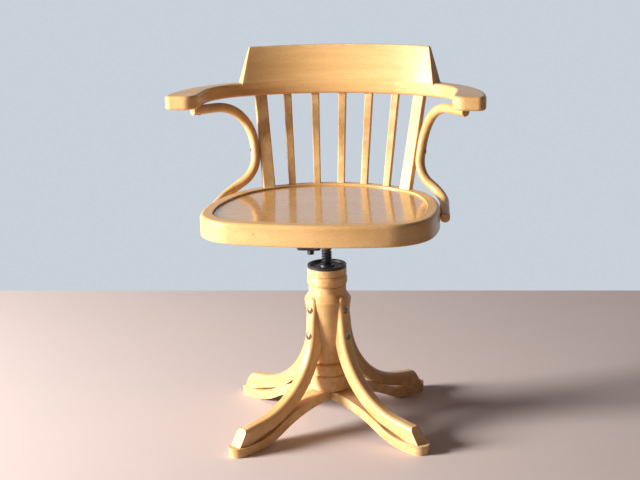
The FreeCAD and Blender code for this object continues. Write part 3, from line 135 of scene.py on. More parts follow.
class Board:
    """A material's or world's node tree, with one method that makes every node."""

    def __init__(self, owner: Union[bpy.types.Material, bpy.types.World]) -> None:
        """Start an empty node tree.

        Args:
            owner: The material or world that the tree belongs to.
        """
        self.owner = owner
        owner.use_nodes = True
        self.tree = owner.node_tree
        self.tree.nodes.clear()

    @classmethod
    def material(cls, name: str) -> "Board":
        """Start a material.

        Args:
            name: The material's name.

        Returns:
            The board of the new material.
        """
        return cls(bpy.data.materials.new(name))

    def node(
        self,
        kind: str,
        settings: Optional[Dict[str, object]] = None,
        inputs: Optional[Dict[Key, object]] = None,
        out: Key = 0,
    ) -> Wire:
        """Make a node, set it up and link it.

        Args:
            kind: The node's type.
            settings: Its properties; "stops" holds a ramp's places and colours.
            inputs: Values or Wires by socket number or name.
            out: The output to return.

        Returns:
            The chosen output as a Wire.
        """
        made = self.tree.nodes.new(kind)
        for key, value in (settings or {}).items():
            if key == "stops":
                self._set_stops(made.color_ramp, value)
            else:
                setattr(made, key, value)
        for key, value in (inputs or {}).items():
            if isinstance(value, Wire):
                self.tree.links.new(value.socket, made.inputs[key])
            else:
                made.inputs[key].default_value = value
        return Wire(self, made.outputs[out] if len(made.outputs) else None)

    @staticmethod
    def _set_stops(ramp: bpy.types.ColorRamp, stops: Sequence[Tuple[float, Colour]]) -> None:
        """Give a ramp its stops.

        Args:
            ramp: The colour ramp.
            stops: Places and colours, in order.
        """
        while len(ramp.elements) < len(stops):
            ramp.elements.new(0.5)
        for element, (place, colour) in zip(ramp.elements, stops):
            element.position = place
            element.color = (*colour, 1.0)

    def place(self) -> Wire:
        """Return the point of the surface in the model's frame."""
        return self.node("ShaderNodeTexCoord", out="Object")

    def parts(self, vector: Wire) -> Tuple[Wire, Wire, Wire]:
        """Return a vector's three numbers.

        Args:
            vector: The vector.

        Returns:
            Its x, y and z.
        """
        x = self.node("ShaderNodeSeparateXYZ", {}, {0: vector})
        return x, x.sibling(1), x.sibling(2)

    def vector(self, x: Amount, y: Amount, z: Amount) -> Wire:
        """Return a vector of three numbers.

        Args:
            x: The first number.
            y: The second number.
            z: The third number.

        Returns:
            The vector.
        """
        return self.node("ShaderNodeCombineXYZ", {}, {0: x, 1: y, 2: z})

    def maths(self, operation: str, *values: Amount) -> Wire:
        """Return the result of a Math operation without an operator of its own.

        Args:
            operation: The Math node's operation.
            values: Its values.

        Returns:
            The result.
        """
        return self.node("ShaderNodeMath", {"operation": operation}, dict(enumerate(values)))

    def noise(self, point: Wire, scale: float, detail: float = 3.0, rough: float = 0.5) -> Wire:
        """Return a noise from 0 to 1.

        Args:
            point: Where it is read.
            scale: How fine it is.
            detail: How many layers it has.
            rough: How strong the fine layers are.

        Returns:
            The noise.
        """
        inputs = {"Vector": point, "Scale": scale, "Detail": detail, "Roughness": rough}
        return self.node("ShaderNodeTexNoise", {}, inputs)

    def stretched(self, point: Wire, scale: Tuple[float, float, float]) -> Wire:
        """Return a vector scaled by a factor each way.

        Args:
            point: The vector.
            scale: Three factors.

        Returns:
            The scaled vector.
        """
        return self.node("ShaderNodeVectorMath", {"operation": "MULTIPLY"}, {0: point, 1: scale})

    def step(
        self, value: Amount, low: float, high: float, to_low: float = 0.0, to_high: float = 1.0
    ) -> Wire:
        """Return a value eased from one range to another.

        Args:
            value: The value.
            low: The value that gives to_low.
            high: The value that gives to_high.
            to_low: The result at low.
            to_high: The result at high.

        Returns:
            The eased value.
        """
        return self.node(
            "ShaderNodeMapRange",
            {"interpolation_type": "SMOOTHSTEP"},
            {0: value, 1: low, 2: high, 3: to_low, 4: to_high},
        )

    def blend(self, share: Amount, first: Union[Wire, Colour], second: Union[Wire, Colour]) -> Wire:
        """Return two colours mixed.

        Args:
            share: How much of the second colour.
            first: The first colour.
            second: The second colour.

        Returns:
            The mixed colour.
        """
        ends = [value if isinstance(value, Wire) else (*value, 1.0) for value in (first, second)]
        inputs = {0: share, 6: ends[0], 7: ends[1]}
        return self.node("ShaderNodeMix", {"data_type": "RGBA"}, inputs, out=2)

    def bump(
        self, height: Wire, distance: float, strength: float = 1.0, under: Optional[Wire] = None
    ) -> Wire:
        """Return a normal bent by a height.

        Args:
            height: The height, from 0 to 1.
            distance: What a height of 1 is in metres.
            strength: The share of the effect.
            under: A bump below this one.

        Returns:
            The bent normal.
        """
        inputs: Dict[Key, object] = {"Height": height, "Distance": distance, "Strength": strength}
        if under is not None:
            inputs["Normal"] = under
        return self.node("ShaderNodeBump", {}, inputs)

    def close(self, inputs: Dict[Key, object]) -> bpy.types.Material:
        """Finish the material with a Principled shader.

        Args:
            inputs: The shader's values and Wires.

        Returns:
            The material.
        """
        shader = self.node("ShaderNodeBsdfPrincipled", {}, inputs)
        self.node("ShaderNodeOutputMaterial", {}, {"Surface": shader})
        return self.owner


@dataclass(frozen=True)
class GrainFrame:
    """The lengthwise, crosswise and depthwise places of a point in a piece of wood."""

    way: Grain
    turn: float = 0.0
    hoop_centre_y: float = HOOP_BACK - HOOP_RADIUS + AXIS_Y
    hoop_radius: float = HOOP_RADIUS
    seat_centre_y: float = -0.0025 + AXIS_Y
    seat_radius: float = 0.205
    leg_centre: Tuple[float, float] = (0.210, 0.210)
    leg_radius: float = 0.170

    def read(self, board: Board) -> Wire:
        """Return the grain's own coordinates: along, across and through.

        Args:
            board: The material's board.

        Returns:
            A vector whose x runs with the fibres.
        """
        x, y, z = board.parts(board.place())
        if self.way is Grain.ALONG_X:
            return board.vector(x, y, z)
        if self.way is Grain.ALONG_Y:
            return board.vector(y, x, z)
        if self.way is Grain.ALONG_Z:
            return board.vector(z, x, y)
        if self.way is Grain.HOOP:
            return self._ring(board, x, y - self.hoop_centre_y, z, self.hoop_radius)
        if self.way is Grain.SEAT:
            return self._ring(board, x, y - self.seat_centre_y, z, self.seat_radius)
        depth = y - AXIS_Y
        along = x * math.cos(self.turn) + depth * math.sin(self.turn)
        across = depth * math.cos(self.turn) - x * math.sin(self.turn)
        if self.way is Grain.RAIL:
            return board.vector(along, z, across)
        out = along - self.leg_centre[0]
        up = z - self.leg_centre[1]
        return self._ring(board, out, up, across, self.leg_radius)

    @staticmethod
    def _ring(board: Board, x: Wire, y: Wire, through: Wire, radius: float) -> Wire:
        """Return coordinates that follow a circle.

        Args:
            board: The material's board.
            x: The first offset from the circle's centre.
            y: The second offset.
            through: The place across the circle's plane.
            radius: The circle's radius, which gives the lengthwise place.

        Returns:
            The grain vector.
        """
        angle = board.maths("ARCTAN2", y, x)
        reach = board.maths("SQRT", x * x + y * y)
        return board.vector(angle * radius, reach, through)


@dataclass(frozen=True)
class Seam:
    """A glue line where two boards meet, in one plane."""

    axis: int
    place: float
    low: float = -9.0
    high: float = 9.0
    along: int = 0
    half_width: float = 0.00035

    def mask(self, board: Board) -> Wire:
        """Return 1 on the line and 0 off it.

        Args:
            board: The material's board.

        Returns:
            The mask.
        """
        numbers = board.parts(board.place())
        off = board.maths("ABSOLUTE", numbers[self.axis] - self.place)
        line = board.step(off, self.half_width * 0.5, self.half_width * 1.6, 1.0, 0.0)
        inside = board.maths("GREATER_THAN", numbers[self.along], self.low)
        return line * inside * board.maths("LESS_THAN", numbers[self.along], self.high)


@dataclass(frozen=True)
class Spot:
    """A small dark knot, or the end of a wooden pin."""

    centre: Tuple[float, float, float]
    radius: float

    def mask(self, board: Board) -> Wire:
        """Return 1 inside the spot and 0 outside it.

        Args:
            board: The material's board.

        Returns:
            The mask.
        """
        ends = {0: board.place(), 1: self.centre}
        off = board.node("ShaderNodeVectorMath", {"operation": "DISTANCE"}, ends, out=1)
        return board.step(off, self.radius * 0.55, self.radius * 1.15, 1.0, 0.0)


@dataclass(frozen=True)
class BeechLacquer:
    """Honey-coloured lacquer on beech: fine pores, short ray flecks and soft worn edges."""

    name: str
    grain: GrainFrame
    deep: Colour = (0.575, 0.295, 0.095)
    body: Colour = (0.695, 0.415, 0.165)
    pale: Colour = (0.785, 0.525, 0.240)
    worn: Colour = (0.86, 0.64, 0.36)
    fleck: Colour = (0.36, 0.125, 0.03)
    roughness: float = 0.40
    coat: float = 0.28
    coat_roughness: float = 0.17
    seed: float = 0.0
    marks: Tuple[Union[Seam, Spot], ...] = ()
    broad_scale: Tuple[float, float, float] = (2.2, 34.0, 34.0)
    fine_scale: Tuple[float, float, float] = (14.0, 420.0, 420.0)
    pore_scale: Tuple[float, float, float] = (60.0, 1500.0, 1500.0)
    ray_scale: Tuple[float, float, float] = (130.0, 900.0, 900.0)
    cloud_scale: float = 7.0
    wear_scale: float = 55.0
    ripple_scale: float = 26.0
    ripple_depth: float = 0.0006
    fibre_depth: float = 0.00012

    def material(self) -> bpy.types.Material:
        """Return the finished material."""
        board = Board.material(self.name)
        shift = (self.seed, self.seed * 0.7, self.seed * 1.3)
        add = {"operation": "ADD"}
        moved = board.node("ShaderNodeVectorMath", add, {0: self.grain.read(board), 1: shift})
        broad = board.noise(board.stretched(moved, self.broad_scale), 1.0, 3.0, 0.55)
        fine = board.noise(board.stretched(moved, self.fine_scale), 1.0, 4.0, 0.62)
        pores = board.noise(board.stretched(moved, self.pore_scale), 1.0, 2.0, 0.5)
        rays = board.noise(board.stretched(moved, self.ray_scale), 1.0, 1.0, 0.4)
        cloud = board.noise(moved, self.cloud_scale, 2.0)
        ramp = [(0.28, self.deep), (0.50, self.body), (0.72, self.pale)]
        figure = broad * 0.58 + fine * 0.30 + cloud * 0.12
        base = board.node("ShaderNodeValToRGB", {"stops": ramp}, {0: figure})
        flecked = board.blend(board.step(rays, 0.60, 0.70) * 0.22, base, self.fleck)
        pored = board.blend(board.step(pores, 0.58, 0.74) * 0.16, flecked, self.fleck)
        wear = board.node("ShaderNodeAttribute", {"attribute_name": "edge"}, {}, out="Fac")
        rubbed = wear * board.step(board.noise(moved, self.wear_scale, 3.0), 0.40, 0.62)
        colour = board.blend(rubbed * 0.42, pored, self.worn)
        dark = self._dark_marks(board)
        if dark is not None:
            colour = board.blend(dark * 0.7, colour, self.fleck)
        sheen = board.step(cloud, 0.3, 0.7, self.roughness - 0.05, self.roughness + 0.07)
        rough = sheen + rubbed * 0.14 + fine * 0.05
        ripple = board.bump(board.noise(moved, self.ripple_scale, 2.0), self.ripple_depth, 0.35)
        normal = board.bump(fine, self.fibre_depth, 0.6, ripple)
        return board.close({
            "Base Color": colour,
            "Roughness": rough,
            "Coat Weight": self.coat,
            "Coat Roughness": self.coat_roughness,
            "Specular IOR Level": 0.3,
            "IOR": 1.5,
            "Normal": normal,
        })

    def _dark_marks(self, board: Board) -> Optional[Wire]:
        """Return where seams and knots are dark, or None where there are none.

        Args:
            board: The material's board.

        Returns:
            A mask from 0 to 1.
        """
        masks = [mark.mask(board) for mark in self.marks]
        if not masks:
            return None
        total = masks[0]
        for mask in masks[1:]:
            total = board.maths("MAXIMUM", total, mask)
        return total


@dataclass(frozen=True)
class SeatVeneer:
    """Glossy tan veneer of the seat panel, with a faint straight figure under the lacquer."""

    name: str = "seat_veneer"
    tan: Colour = (0.57, 0.30, 0.105)
    pale: Colour = (0.65, 0.37, 0.145)
    line: Colour = (0.42, 0.19, 0.06)

    def material(self) -> bpy.types.Material:
        """Return the finished material."""
        board = Board.material(self.name)
        x, y, z = board.parts(board.place())
        sweep = board.noise(board.vector(x * 2.0, y * 30.0, z), 1.0, 3.0)
        fine = board.noise(board.vector(x * 16.0, y * 500.0, z * 20.0), 1.0, 4.0, 0.6)
        base = board.blend(board.step(sweep * 0.6 + fine * 0.4, 0.34, 0.66), self.tan, self.pale)
        colour = board.blend(board.step(fine, 0.60, 0.74) * 0.22, base, self.line)
        scuff = board.noise(board.vector(x, y, z), 38.0, 4.0, 0.65)
        rough = board.step(scuff, 0.45, 0.75, 0.24, 0.32)
        ripple = board.bump(board.noise(board.vector(x, y, z), 9.0, 1.0), 0.0012, 0.12)
        normal = board.bump(fine, 0.00005, 0.5, ripple)
        return board.close({
            "Base Color": colour,
            "Roughness": rough,
            "Coat Weight": 0.7,
            "Coat Roughness": 0.06,
            "IOR": 1.5,
            "Normal": normal,
        })


@dataclass(frozen=True)
class BareBeech:
    """Unlacquered beech of the battens under the seat."""

    name: str = "bare_beech"
    pale: Colour = (0.62, 0.41, 0.22)
    dark: Colour = (0.46, 0.27, 0.12)

    def material(self) -> bpy.types.Material:
        """Return the finished material."""
        board = Board.material(self.name)
        x, y, z = board.parts(board.place())
        grain = board.noise(board.vector(x * 9.0, y * 240.0, z * 240.0), 1.0, 4.0, 0.6)
        dust = board.noise(board.vector(x, y, z), 30.0, 3.0)
        colour = board.blend(board.step(grain * 0.7 + dust * 0.3, 0.35, 0.65), self.dark, self.pale)
        return board.close({
            "Base Color": colour,
            "Roughness": board.step(dust, 0.3, 0.7, 0.68, 0.82),
            "Normal": board.bump(grain, 0.0003, 0.6),
        })


@dataclass(frozen=True)
class IronPaint:
    """Black paint on cast iron: a slight orange peel, and bare metal where it is rubbed."""

    name: str
    black: Colour = (0.018, 0.018, 0.020)
    rubbed: Colour = (0.20, 0.19, 0.18)
    roughness: float = 0.42
    peel: float = 0.00025

    def material(self) -> bpy.types.Material:
        """Return the finished material."""
        board = Board.material(self.name)
        point = board.place()
        pits = board.noise(point, 420.0, 3.0, 0.6)
        patch = board.noise(point, 60.0, 4.0, 0.6)
        worn = board.step(patch, 0.66, 0.80)
        return board.close({
            "Base Color": board.blend(worn * 0.6, self.black, self.rubbed),
            "Metallic": worn * 0.8,
            "Roughness": board.step(pits, 0.3, 0.7, self.roughness - 0.08, self.roughness + 0.12),
            "Normal": board.bump(pits, self.peel, 0.5),
        })


@dataclass(frozen=True)
class Metal:
    """Bare or blackened metal with brushed or turned marks round the screw's axis."""

    name: str
    colour: Colour
    stain: Colour
    metallic: float = 0.9
    roughness: float = 0.30
    turned: bool = False

    def material(self) -> bpy.types.Material:
        """Return the finished material."""
        board = Board.material(self.name)
        point = board.place()
        x, y, z = board.parts(point)
        if self.turned:
            marks_at = board.vector(z * 60.0, z * 3200.0, z * 60.0)
        else:
            marks_at = board.vector(x * 900.0, y * 900.0, z * 900.0)
        marks = board.noise(marks_at, 1.0, 3.0, 0.6)
        patch = board.noise(point, 90.0, 4.0, 0.6)
        dirt = board.step(patch, 0.45, 0.72)
        return board.close({
            "Base Color": board.blend(dirt * 0.7, self.colour, self.stain),
            "Metallic": board.step(dirt, 0.0, 1.0, self.metallic, self.metallic * 0.7),
            "Roughness": self.roughness + dirt * 0.2 + marks * 0.08,
            "Normal": board.bump(marks, 0.00006, 0.5),
        })


class Timber:
    """Makes softened pieces of wood from the fixed nodes with mesh operators."""

    edge_layer = "edge"
    weld_distance = 2e-6
    flat_degrees = 0.4

    @classmethod
    def soften(
        cls,
        node: str,
        width: float,
        sharp: float = 32.0,
        segments: int = 2,
        crisp: Optional[Callable[[Vector], bool]] = None,
    ) -> bpy.types.Object:
        """Make a piece like a node, with its sharp edges rounded.

        Args:
            node: The node's name.
            width: How far a rounding reaches from its edge.
            sharp: The angle in degrees above which an edge is rounded.
            segments: How many steps a rounding has.
            crisp: Whether a point lies on a glued joint, whose edges stay crisp.

        Returns:
            The piece, which replaces the node.
        """
        bm = bmesh.new()
        bm.from_mesh(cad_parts[node].data)
        bmesh.ops.remove_doubles(bm, verts=bm.verts, dist=cls.weld_distance)
        flat = math.radians(cls.flat_degrees)
        bmesh.ops.dissolve_limit(bm, angle_limit=flat, verts=bm.verts, edges=bm.edges)
        edges = [edge for edge in bm.edges if cls._bends(edge, sharp)]
        if crisp is not None:
            edges = [edge for edge in edges if not all(crisp(vert.co) for vert in edge.verts)]
        layer = bm.verts.layers.float.new(cls.edge_layer)
        made = bmesh.ops.bevel(
            bm,
            geom=edges,
            offset=width,
            offset_type="OFFSET",
            segments=segments,
            profile=0.5,
            affect="EDGES",
            clamp_overlap=True,
            material=-1,
        )
        for vert in made["verts"]:
            vert[layer] = 1.0
        return cls.finish(bm, node + "_wood", (node,))

    @staticmethod
    def _bends(edge: bmesh.types.BMEdge, degrees: float) -> bool:
        """Return whether two faces meet at an edge by more than an angle.

        Args:
            edge: The edge.
            degrees: The angle in degrees.

        Returns:
            True for a sharp edge.
        """
        return edge.is_manifold and edge.calc_face_angle(0.0) > math.radians(degrees)

    @classmethod
    def finish(
        cls, bm: bmesh.types.BMesh, name: str, nodes: Sequence[str], crease: float = 38.0
    ) -> bpy.types.Object:
        """Turn a bmesh into a smooth-shaded object in the scene.

        Args:
            bm: The bmesh, which is freed.
            name: The piece's name.
            nodes: The nodes that the piece replaces.
            crease: The angle in degrees above which an edge stays sharp.

        Returns:
            The object.
        """
        for face in bm.faces:
            face.smooth = True
        for edge in bm.edges:
            edge.smooth = not cls._bends(edge, crease)
        mesh = bpy.data.meshes.new(name)
        bm.to_mesh(mesh)
        bm.free()
        piece = bpy.data.objects.new(name, mesh)
        bpy.context.scene.collection.objects.link(piece)
        weighted = piece.modifiers.new("even_shading", "WEIGHTED_NORMAL")
        weighted.keep_sharp = True
        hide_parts(*nodes)
        return piece


def dress(thing: bpy.types.Object, material: bpy.types.Material) -> None:
    """Give an object one material.

    Args:
        thing: The object.
        material: Its material.
    """
    thing.data.materials.clear()
    thing.data.materials.append(material)


class Assembly:
    """A group of pieces that ride on one body."""

    body = "seat"
    slot = "beech"

    def __init__(self) -> None:
        """Start with no pieces."""
        self.made: List[str] = []

    def keep(
        self, piece: bpy.types.Object, material: bpy.types.Material, slot: Optional[str] = None
    ) -> None:
        """Dress a new piece and let it ride.

        Args:
            piece: The piece.
            material: Its material.
            slot: The record's slot, where it isn't the assembly's own; not used.
        """
        dress(piece, material)
        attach(piece, self.body)
        self.made.append(piece.name)

    def dress_node(self, node: str, material: bpy.types.Material) -> None:
        """Give a fixed node a better material.

        Args:
            node: The node's name.
            material: Its material.
        """
        dress(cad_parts[node], material)
        self.made.append(node)

    def report(self) -> None:
        """Log what the assembly made."""
        log.info("%s: %s", type(self).__name__, ", ".join(self.made))


@dataclass
class Base(Assembly):
    """Rails, legs, turned column and their fasteners."""

    edge: float = 0.0012
    leg_edge: float = 0.0010
    layers: Tuple[float, ...] = (0.0045, 0.0090, 0.0135)
    legs: Tuple[Tuple[str, float], ...] = (
        ("leg_back_right", 45.0),
        ("leg_back_left", 135.0),
        ("leg_front_left", 225.0),
        ("leg_front_right", 315.0),
    )
    rails: Tuple[Tuple[str, float], ...] = (("cross_rail_a", 45.0), ("cross_rail_b", 135.0))
    body: str = "base"
    slot: str = "beech"

    def __post_init__(self) -> None:
        """Start the list of pieces."""
        super().__init__()

    def build(
        self, iron: bpy.types.Material, steel: bpy.types.Material, brass: bpy.types.Material
    ) -> None:
        """Make and dress the base.

        Args:
            iron: Black iron.
            steel: Dark steel.
            brass: The bolts' metal.
        """
        marks = tuple(Seam(axis=2, place=height, half_width=0.00028) for height in self.layers)
        for index, (name, angle) in enumerate(self.rails):
            grain = GrainFrame(Grain.RAIL, math.radians(angle) + BASE_TURN)
            finish = BeechLacquer(name + "_finish", grain, seed=3.1 + index, marks=marks)
            self.keep(Timber.soften(name, self.edge), finish.material())
        for index, (name, angle) in enumerate(self.legs):
            grain = GrainFrame(Grain.LEG, math.radians(angle) + BASE_TURN)
            finish = BeechLacquer(name + "_finish", grain, seed=5.3 + index * 1.7)
            self.keep(Timber.soften(name, self.leg_edge), finish.material())
        column = BeechLacquer("column_finish", GrainFrame(Grain.ALONG_Z), seed=11.0)
        self.keep(Timber.soften("column", self.edge, sharp=20.0), column.material())
        self.dress_node("column_nut", iron)
        self.dress_node("leg_bolts", brass)
        for name in ("foot_screws", "nut_screws", "centre_bolt"):
            self.dress_node(name, steel)


@dataclass
class Screw(Assembly):
    """The threaded spindle, its stop and the swivel bush."""

    body: str = "spindle"
    slot: str = "dark_steel"

    def __post_init__(self) -> None:
        """Start the list of pieces."""
        super().__init__()

    def build(self, steel: bpy.types.Material, bronze: bpy.types.Material) -> None:
        """Dress the screw.

        Args:
            steel: Greasy dark steel.
            bronze: The bush's metal.
        """
        for name in ("spindle", "stop_washer", "stop_screw"):
            self.dress_node(name, steel)
        self.dress_node("swivel_bush", bronze)


@dataclass
class Seat(Assembly):
    """Bent rim, veneered panel, battens, seat iron and lock lever."""

    knots: Tuple[Spot, ...] = (
        Spot((-0.098, -0.1915, 0.4245), 0.0022),
        Spot((0.182, -0.148, 0.4225), 0.0020),
        Spot((0.020, -0.1985, 0.4130), 0.0012),
        Spot((0.101, -0.1905, 0.4340), 0.0010),
    )
    rim_edge: float = 0.0008
    panel_edge: float = 0.0006
    body: str = "seat"
    slot: str = "beech"

    def __post_init__(self) -> None:
        """Start the list of pieces."""
        super().__init__()

    def build(self, iron: bpy.types.Material, steel: bpy.types.Material) -> None:
        """Make and dress the seat.

        Args:
            iron: Black iron.
            steel: Dark steel.
        """
        rim = BeechLacquer("rim_finish", GrainFrame(Grain.SEAT), seed=17.0, marks=self.knots)
        self.keep(Timber.soften("seat_rim", self.rim_edge), rim.material())
        self.keep(Timber.soften("seat_panel", self.panel_edge), SeatVeneer().material(), "seat_ply")
        bare = BareBeech().material()
        for name in ("batten_front", "batten_back"):
            self.keep(Timber.soften(name, self.rim_edge), bare, "batten_wood")
        for name in ("seat_hub", "lock_lever", "lever_pivot_bolt"):
            self.dress_node(name, iron)
        for name in ("spider_screws", "batten_screws"):
            self.dress_node(name, steel)


@dataclass
class Back(Assembly):
    """Posts, slats, the hoop with its arms, the crest and the bent supports."""

    upright_edge: float = 0.0010
    hoop_edge: float = 0.0016
    crest_edge: float = 0.0022
    joint_height: float = 0.647
    joint_angle: float = math.asin(0.115 / (HOOP_RADIUS + 0.014))
    crest_angle: float = math.asin(0.190 / HOOP_RADIUS)
    joint_shy: float = 0.0015
    crest_shy: float = 0.004
    body: str = "seat"
    slot: str = "beech"

    def __post_init__(self) -> None:
        """Start the list of pieces."""
        super().__init__()

    def build(self, browned: bpy.types.Material) -> None:
        """Make and dress the back.

        Args:
            browned: The support screws' browned metal.
        """
        names = ["post_left", "post_right"] + ["back_slat_%d" % number for number in range(1, 6)]
        foot_seam = Seam(axis=2, place=self.joint_height)
        for index, name in enumerate(names):
            finish = BeechLacquer(name + "_finish", GrainFrame(Grain.ALONG_Z), seed=21.0 + index * 2.3)
            self.keep(Timber.soften(name, self.upright_edge), finish.material())
        for index, name in enumerate(("back_rail", "arm_left", "arm_right")):
            finish = BeechLacquer(name + "_finish", GrainFrame(Grain.HOOP), seed=41.0 + index * 3.1)
            piece = Timber.soften(name, self.hoop_edge, sharp=50.0, crisp=self._glued)
            self.keep(piece, finish.material())
        crest = BeechLacquer("crest_finish", GrainFrame(Grain.HOOP), seed=53.0, marks=(foot_seam,))
        self.keep(Timber.soften("crest_rail", self.crest_edge, crisp=self._glued), crest.material())
        for index, name in enumerate(("arm_support_left", "arm_support_right")):
            finish = BeechLacquer(name + "_finish", GrainFrame(Grain.ALONG_Z), seed=61.0 + index * 2.0)
            self.dress_node(name, finish.material())
        self.dress_node("support_screws", browned)

    def _glued(self, point: Vector) -> bool:
        """Return whether a point lies on a joint of the hoop or under the crest.

        Args:
            point: The point.

        Returns:
            True on a glued joint.
        """
        angle = abs(math.atan2(point.x, point.y - GrainFrame.hoop_centre_y))
        if abs(angle - self.joint_angle) < self.joint_shy:
            return True
        level = abs(point.z - self.joint_height) < 0.0004
        return level and angle < self.crest_angle + self.crest_shy


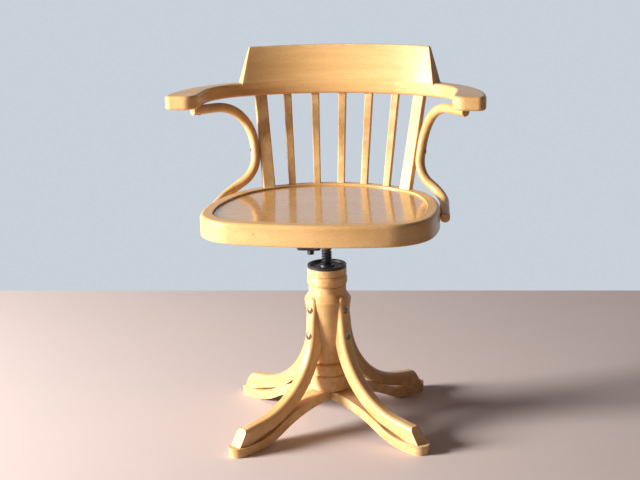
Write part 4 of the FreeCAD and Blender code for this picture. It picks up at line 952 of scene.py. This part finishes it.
@dataclass(frozen=True)
class Studio:
    """Pale floor, one broad lamp from the front left and the photograph's camera."""

    floor_colour: Colour = (0.62, 0.53, 0.52)
    wall_colour: Colour = (0.58, 0.64, 0.70)
    bounce_colour: Colour = (1.0, 0.60, 0.45)
    world_light: float = 0.070
    key_power: float = 365.0
    key_size: float = 1.2
    fill_power: float = 0.6
    distance: float = 2.82155
    height: float = 1.09189
    pitch: float = 0.250842
    roll: float = -0.029681
    pan: float = -0.004216
    yaw: float = 0.193000
    focal_pixels: float = 1520.74
    wall_left: Tuple[float, float] = (-4.0, 1.323)
    wall_right: Tuple[float, float] = (4.0, 0.511)
    floor_front: float = -6.0
    key_spot: Tuple[float, float, float] = (-3.3, -0.62, 1.25)
    key_colour: Colour = (1.0, 0.965, 0.91)
    fill_spot: Tuple[float, float, float] = (-0.4, -3.2, 2.4)
    fill_size: float = 2.0
    fill_colour: Colour = (0.95, 0.97, 1.0)
    lamp_aim: float = 0.38
    photo_width: float = 640.0
    sensor_width: float = 36.0

    def build(self) -> None:
        """Make the floor, the lamps, the world and the camera."""
        self._floor()
        self._world()
        self._lamp("key_lamp", self.key_spot, self.key_size, self.key_power, self.key_colour)
        self._lamp("fill_lamp", self.fill_spot, self.fill_size, self.fill_power, self.fill_colour)
        self._camera()

    def _turned(self, x: float, y: float, z: float) -> Vector:
        """Return a point of the room in the model's frame.

        Args:
            x: To the photographer's right, from the swivel axis.
            y: Away from the photographer.
            z: Up.

        Returns:
            The point.
        """
        spot = Matrix.Rotation(self.yaw, 3, "Z") @ Vector((x, y, z))
        return spot + Vector((0.0, AXIS_Y, 0.0))

    def _floor(self) -> None:
        """Make the floor, whose far edge is where the photograph's wall stands."""
        bm = bmesh.new()
        bmesh.ops.create_grid(bm, x_segments=1, y_segments=1, size=1.0)
        for vert in bm.verts:
            behind = self.wall_left if vert.co.x < 0.0 else self.wall_right
            vert.co = self._turned(behind[0], behind[1] if vert.co.y > 0.0 else self.floor_front, 0.0)
        mesh = bpy.data.meshes.new("floor")
        bm.to_mesh(mesh)
        bm.free()
        floor = bpy.data.objects.new("floor", mesh)
        bpy.context.scene.collection.objects.link(floor)
        board = Board.material("floor_finish")
        point = board.place()
        tone = board.noise(point, 1.3, 2.0)
        shade = tuple(channel * 0.94 for channel in self.floor_colour)
        dress(floor, board.close({
            "Base Color": board.blend(tone, self.floor_colour, shade),
            "Roughness": board.step(board.noise(point, 9.0, 3.0), 0.3, 0.7, 0.62, 0.72),
        }))

    def _world(self) -> None:
        """Light the room evenly, and show the camera a pale wall."""
        world = bpy.data.worlds.new("room")
        bpy.context.scene.world = world
        board = Board(world)
        camera_ray = board.node("ShaderNodeLightPath", out="Is Camera Ray")
        glossy_ray = camera_ray.sibling("Is Glossy Ray")
        through_ray = camera_ray.sibling("Is Transmission Ray")
        seen = board.maths("MAXIMUM", board.maths("MAXIMUM", camera_ray, glossy_ray), through_ray)
        lit_inputs = {"Color": (*self.bounce_colour, 1.0), "Strength": self.world_light}
        lit = board.node("ShaderNodeBackground", {}, lit_inputs)
        shown_inputs = {"Color": (*self.wall_colour, 1.0), "Strength": 1.0}
        shown = board.node("ShaderNodeBackground", {}, shown_inputs)
        mixed = board.node("ShaderNodeMixShader", {}, {0: seen, 1: lit, 2: shown})
        board.node("ShaderNodeOutputWorld", {}, {"Surface": mixed})

    def _lamp(
        self, name: str, spot: Tuple[float, float, float], size: float, power: float, colour: Colour
    ) -> None:
        """Make a square area lamp aimed at the chair.

        Args:
            name: The lamp's name.
            spot: Its place in the room.
            size: Its side.
            power: Its power in watts.
            colour: Its colour.
        """
        data = bpy.data.lights.new(name, "AREA")
        data.shape = "SQUARE"
        data.size = size
        data.energy = power
        data.color = colour
        lamp = bpy.data.objects.new(name, data)
        bpy.context.scene.collection.objects.link(lamp)
        place = self._turned(*spot)
        aim = Vector((0.0, AXIS_Y, self.lamp_aim)) - place
        lamp.location = place
        lamp.rotation_mode = "QUATERNION"
        lamp.rotation_quaternion = aim.to_track_quat("-Z", "Y")

    def _camera(self) -> None:
        """Make the camera where the photograph was taken."""
        data = bpy.data.cameras.new("photo_camera")
        data.sensor_width = self.sensor_width
        data.lens = self.focal_pixels * self.sensor_width / self.photo_width
        data.clip_start = 0.1
        data.clip_end = 60.0
        camera = bpy.data.objects.new("photo_camera", data)
        bpy.context.scene.collection.objects.link(camera)
        ahead = Vector((
            math.sin(self.pan) * math.cos(self.pitch),
            math.cos(self.pan) * math.cos(self.pitch),
            -math.sin(self.pitch),
        ))
        right = Vector((math.cos(self.pan), -math.sin(self.pan), 0.0))
        up = right.cross(ahead)
        leaning_right = right * math.cos(self.roll) + up * math.sin(self.roll)
        leaning_up = up * math.cos(self.roll) - right * math.sin(self.roll)
        turn = Matrix.Rotation(self.yaw, 3, "Z")
        axes = [turn @ leaning_right, turn @ leaning_up, turn @ (-ahead)]
        rotation = Matrix(axes).transposed().to_4x4()
        place = self._turned(0.0, -self.distance, self.height)
        camera.matrix_world = Matrix.Translation(place) @ rotation
        bpy.context.scene.camera = camera


def main() -> None:
    """Build the chair and the room."""
    logging.basicConfig(level=logging.INFO, format="%(name)s: %(message)s")
    bpy.context.scene.view_settings.view_transform = "Standard"
    Studio().build()
    iron = IronPaint("black_iron_paint").material()
    steel = Metal("dark_steel_metal", (0.10, 0.10, 0.105), (0.03, 0.028, 0.027))
    spindle_steel = Metal("spindle_steel", (0.055, 0.058, 0.066), (0.018, 0.018, 0.02), turned=True)
    bolt_metal = Metal("bolt_metal", (0.30, 0.24, 0.16), (0.07, 0.05, 0.03), roughness=0.34)
    browned = Metal("browned_screws", (0.30, 0.15, 0.055), (0.14, 0.06, 0.02), 0.3, 0.5)
    bronze = Metal("bush_bronze", (0.42, 0.27, 0.12), (0.12, 0.07, 0.03), turned=True)
    dark_steel = steel.material()
    base = Base()
    base.build(iron, dark_steel, bolt_metal.material())
    screw = Screw()
    screw.build(spindle_steel.material(), bronze.material())
    seat = Seat()
    seat.build(iron, dark_steel)
    back = Back()
    back.build(browned.material())
    for assembly in (base, screw, seat, back):
        assembly.report()


if __name__ == "__main__":
    main()
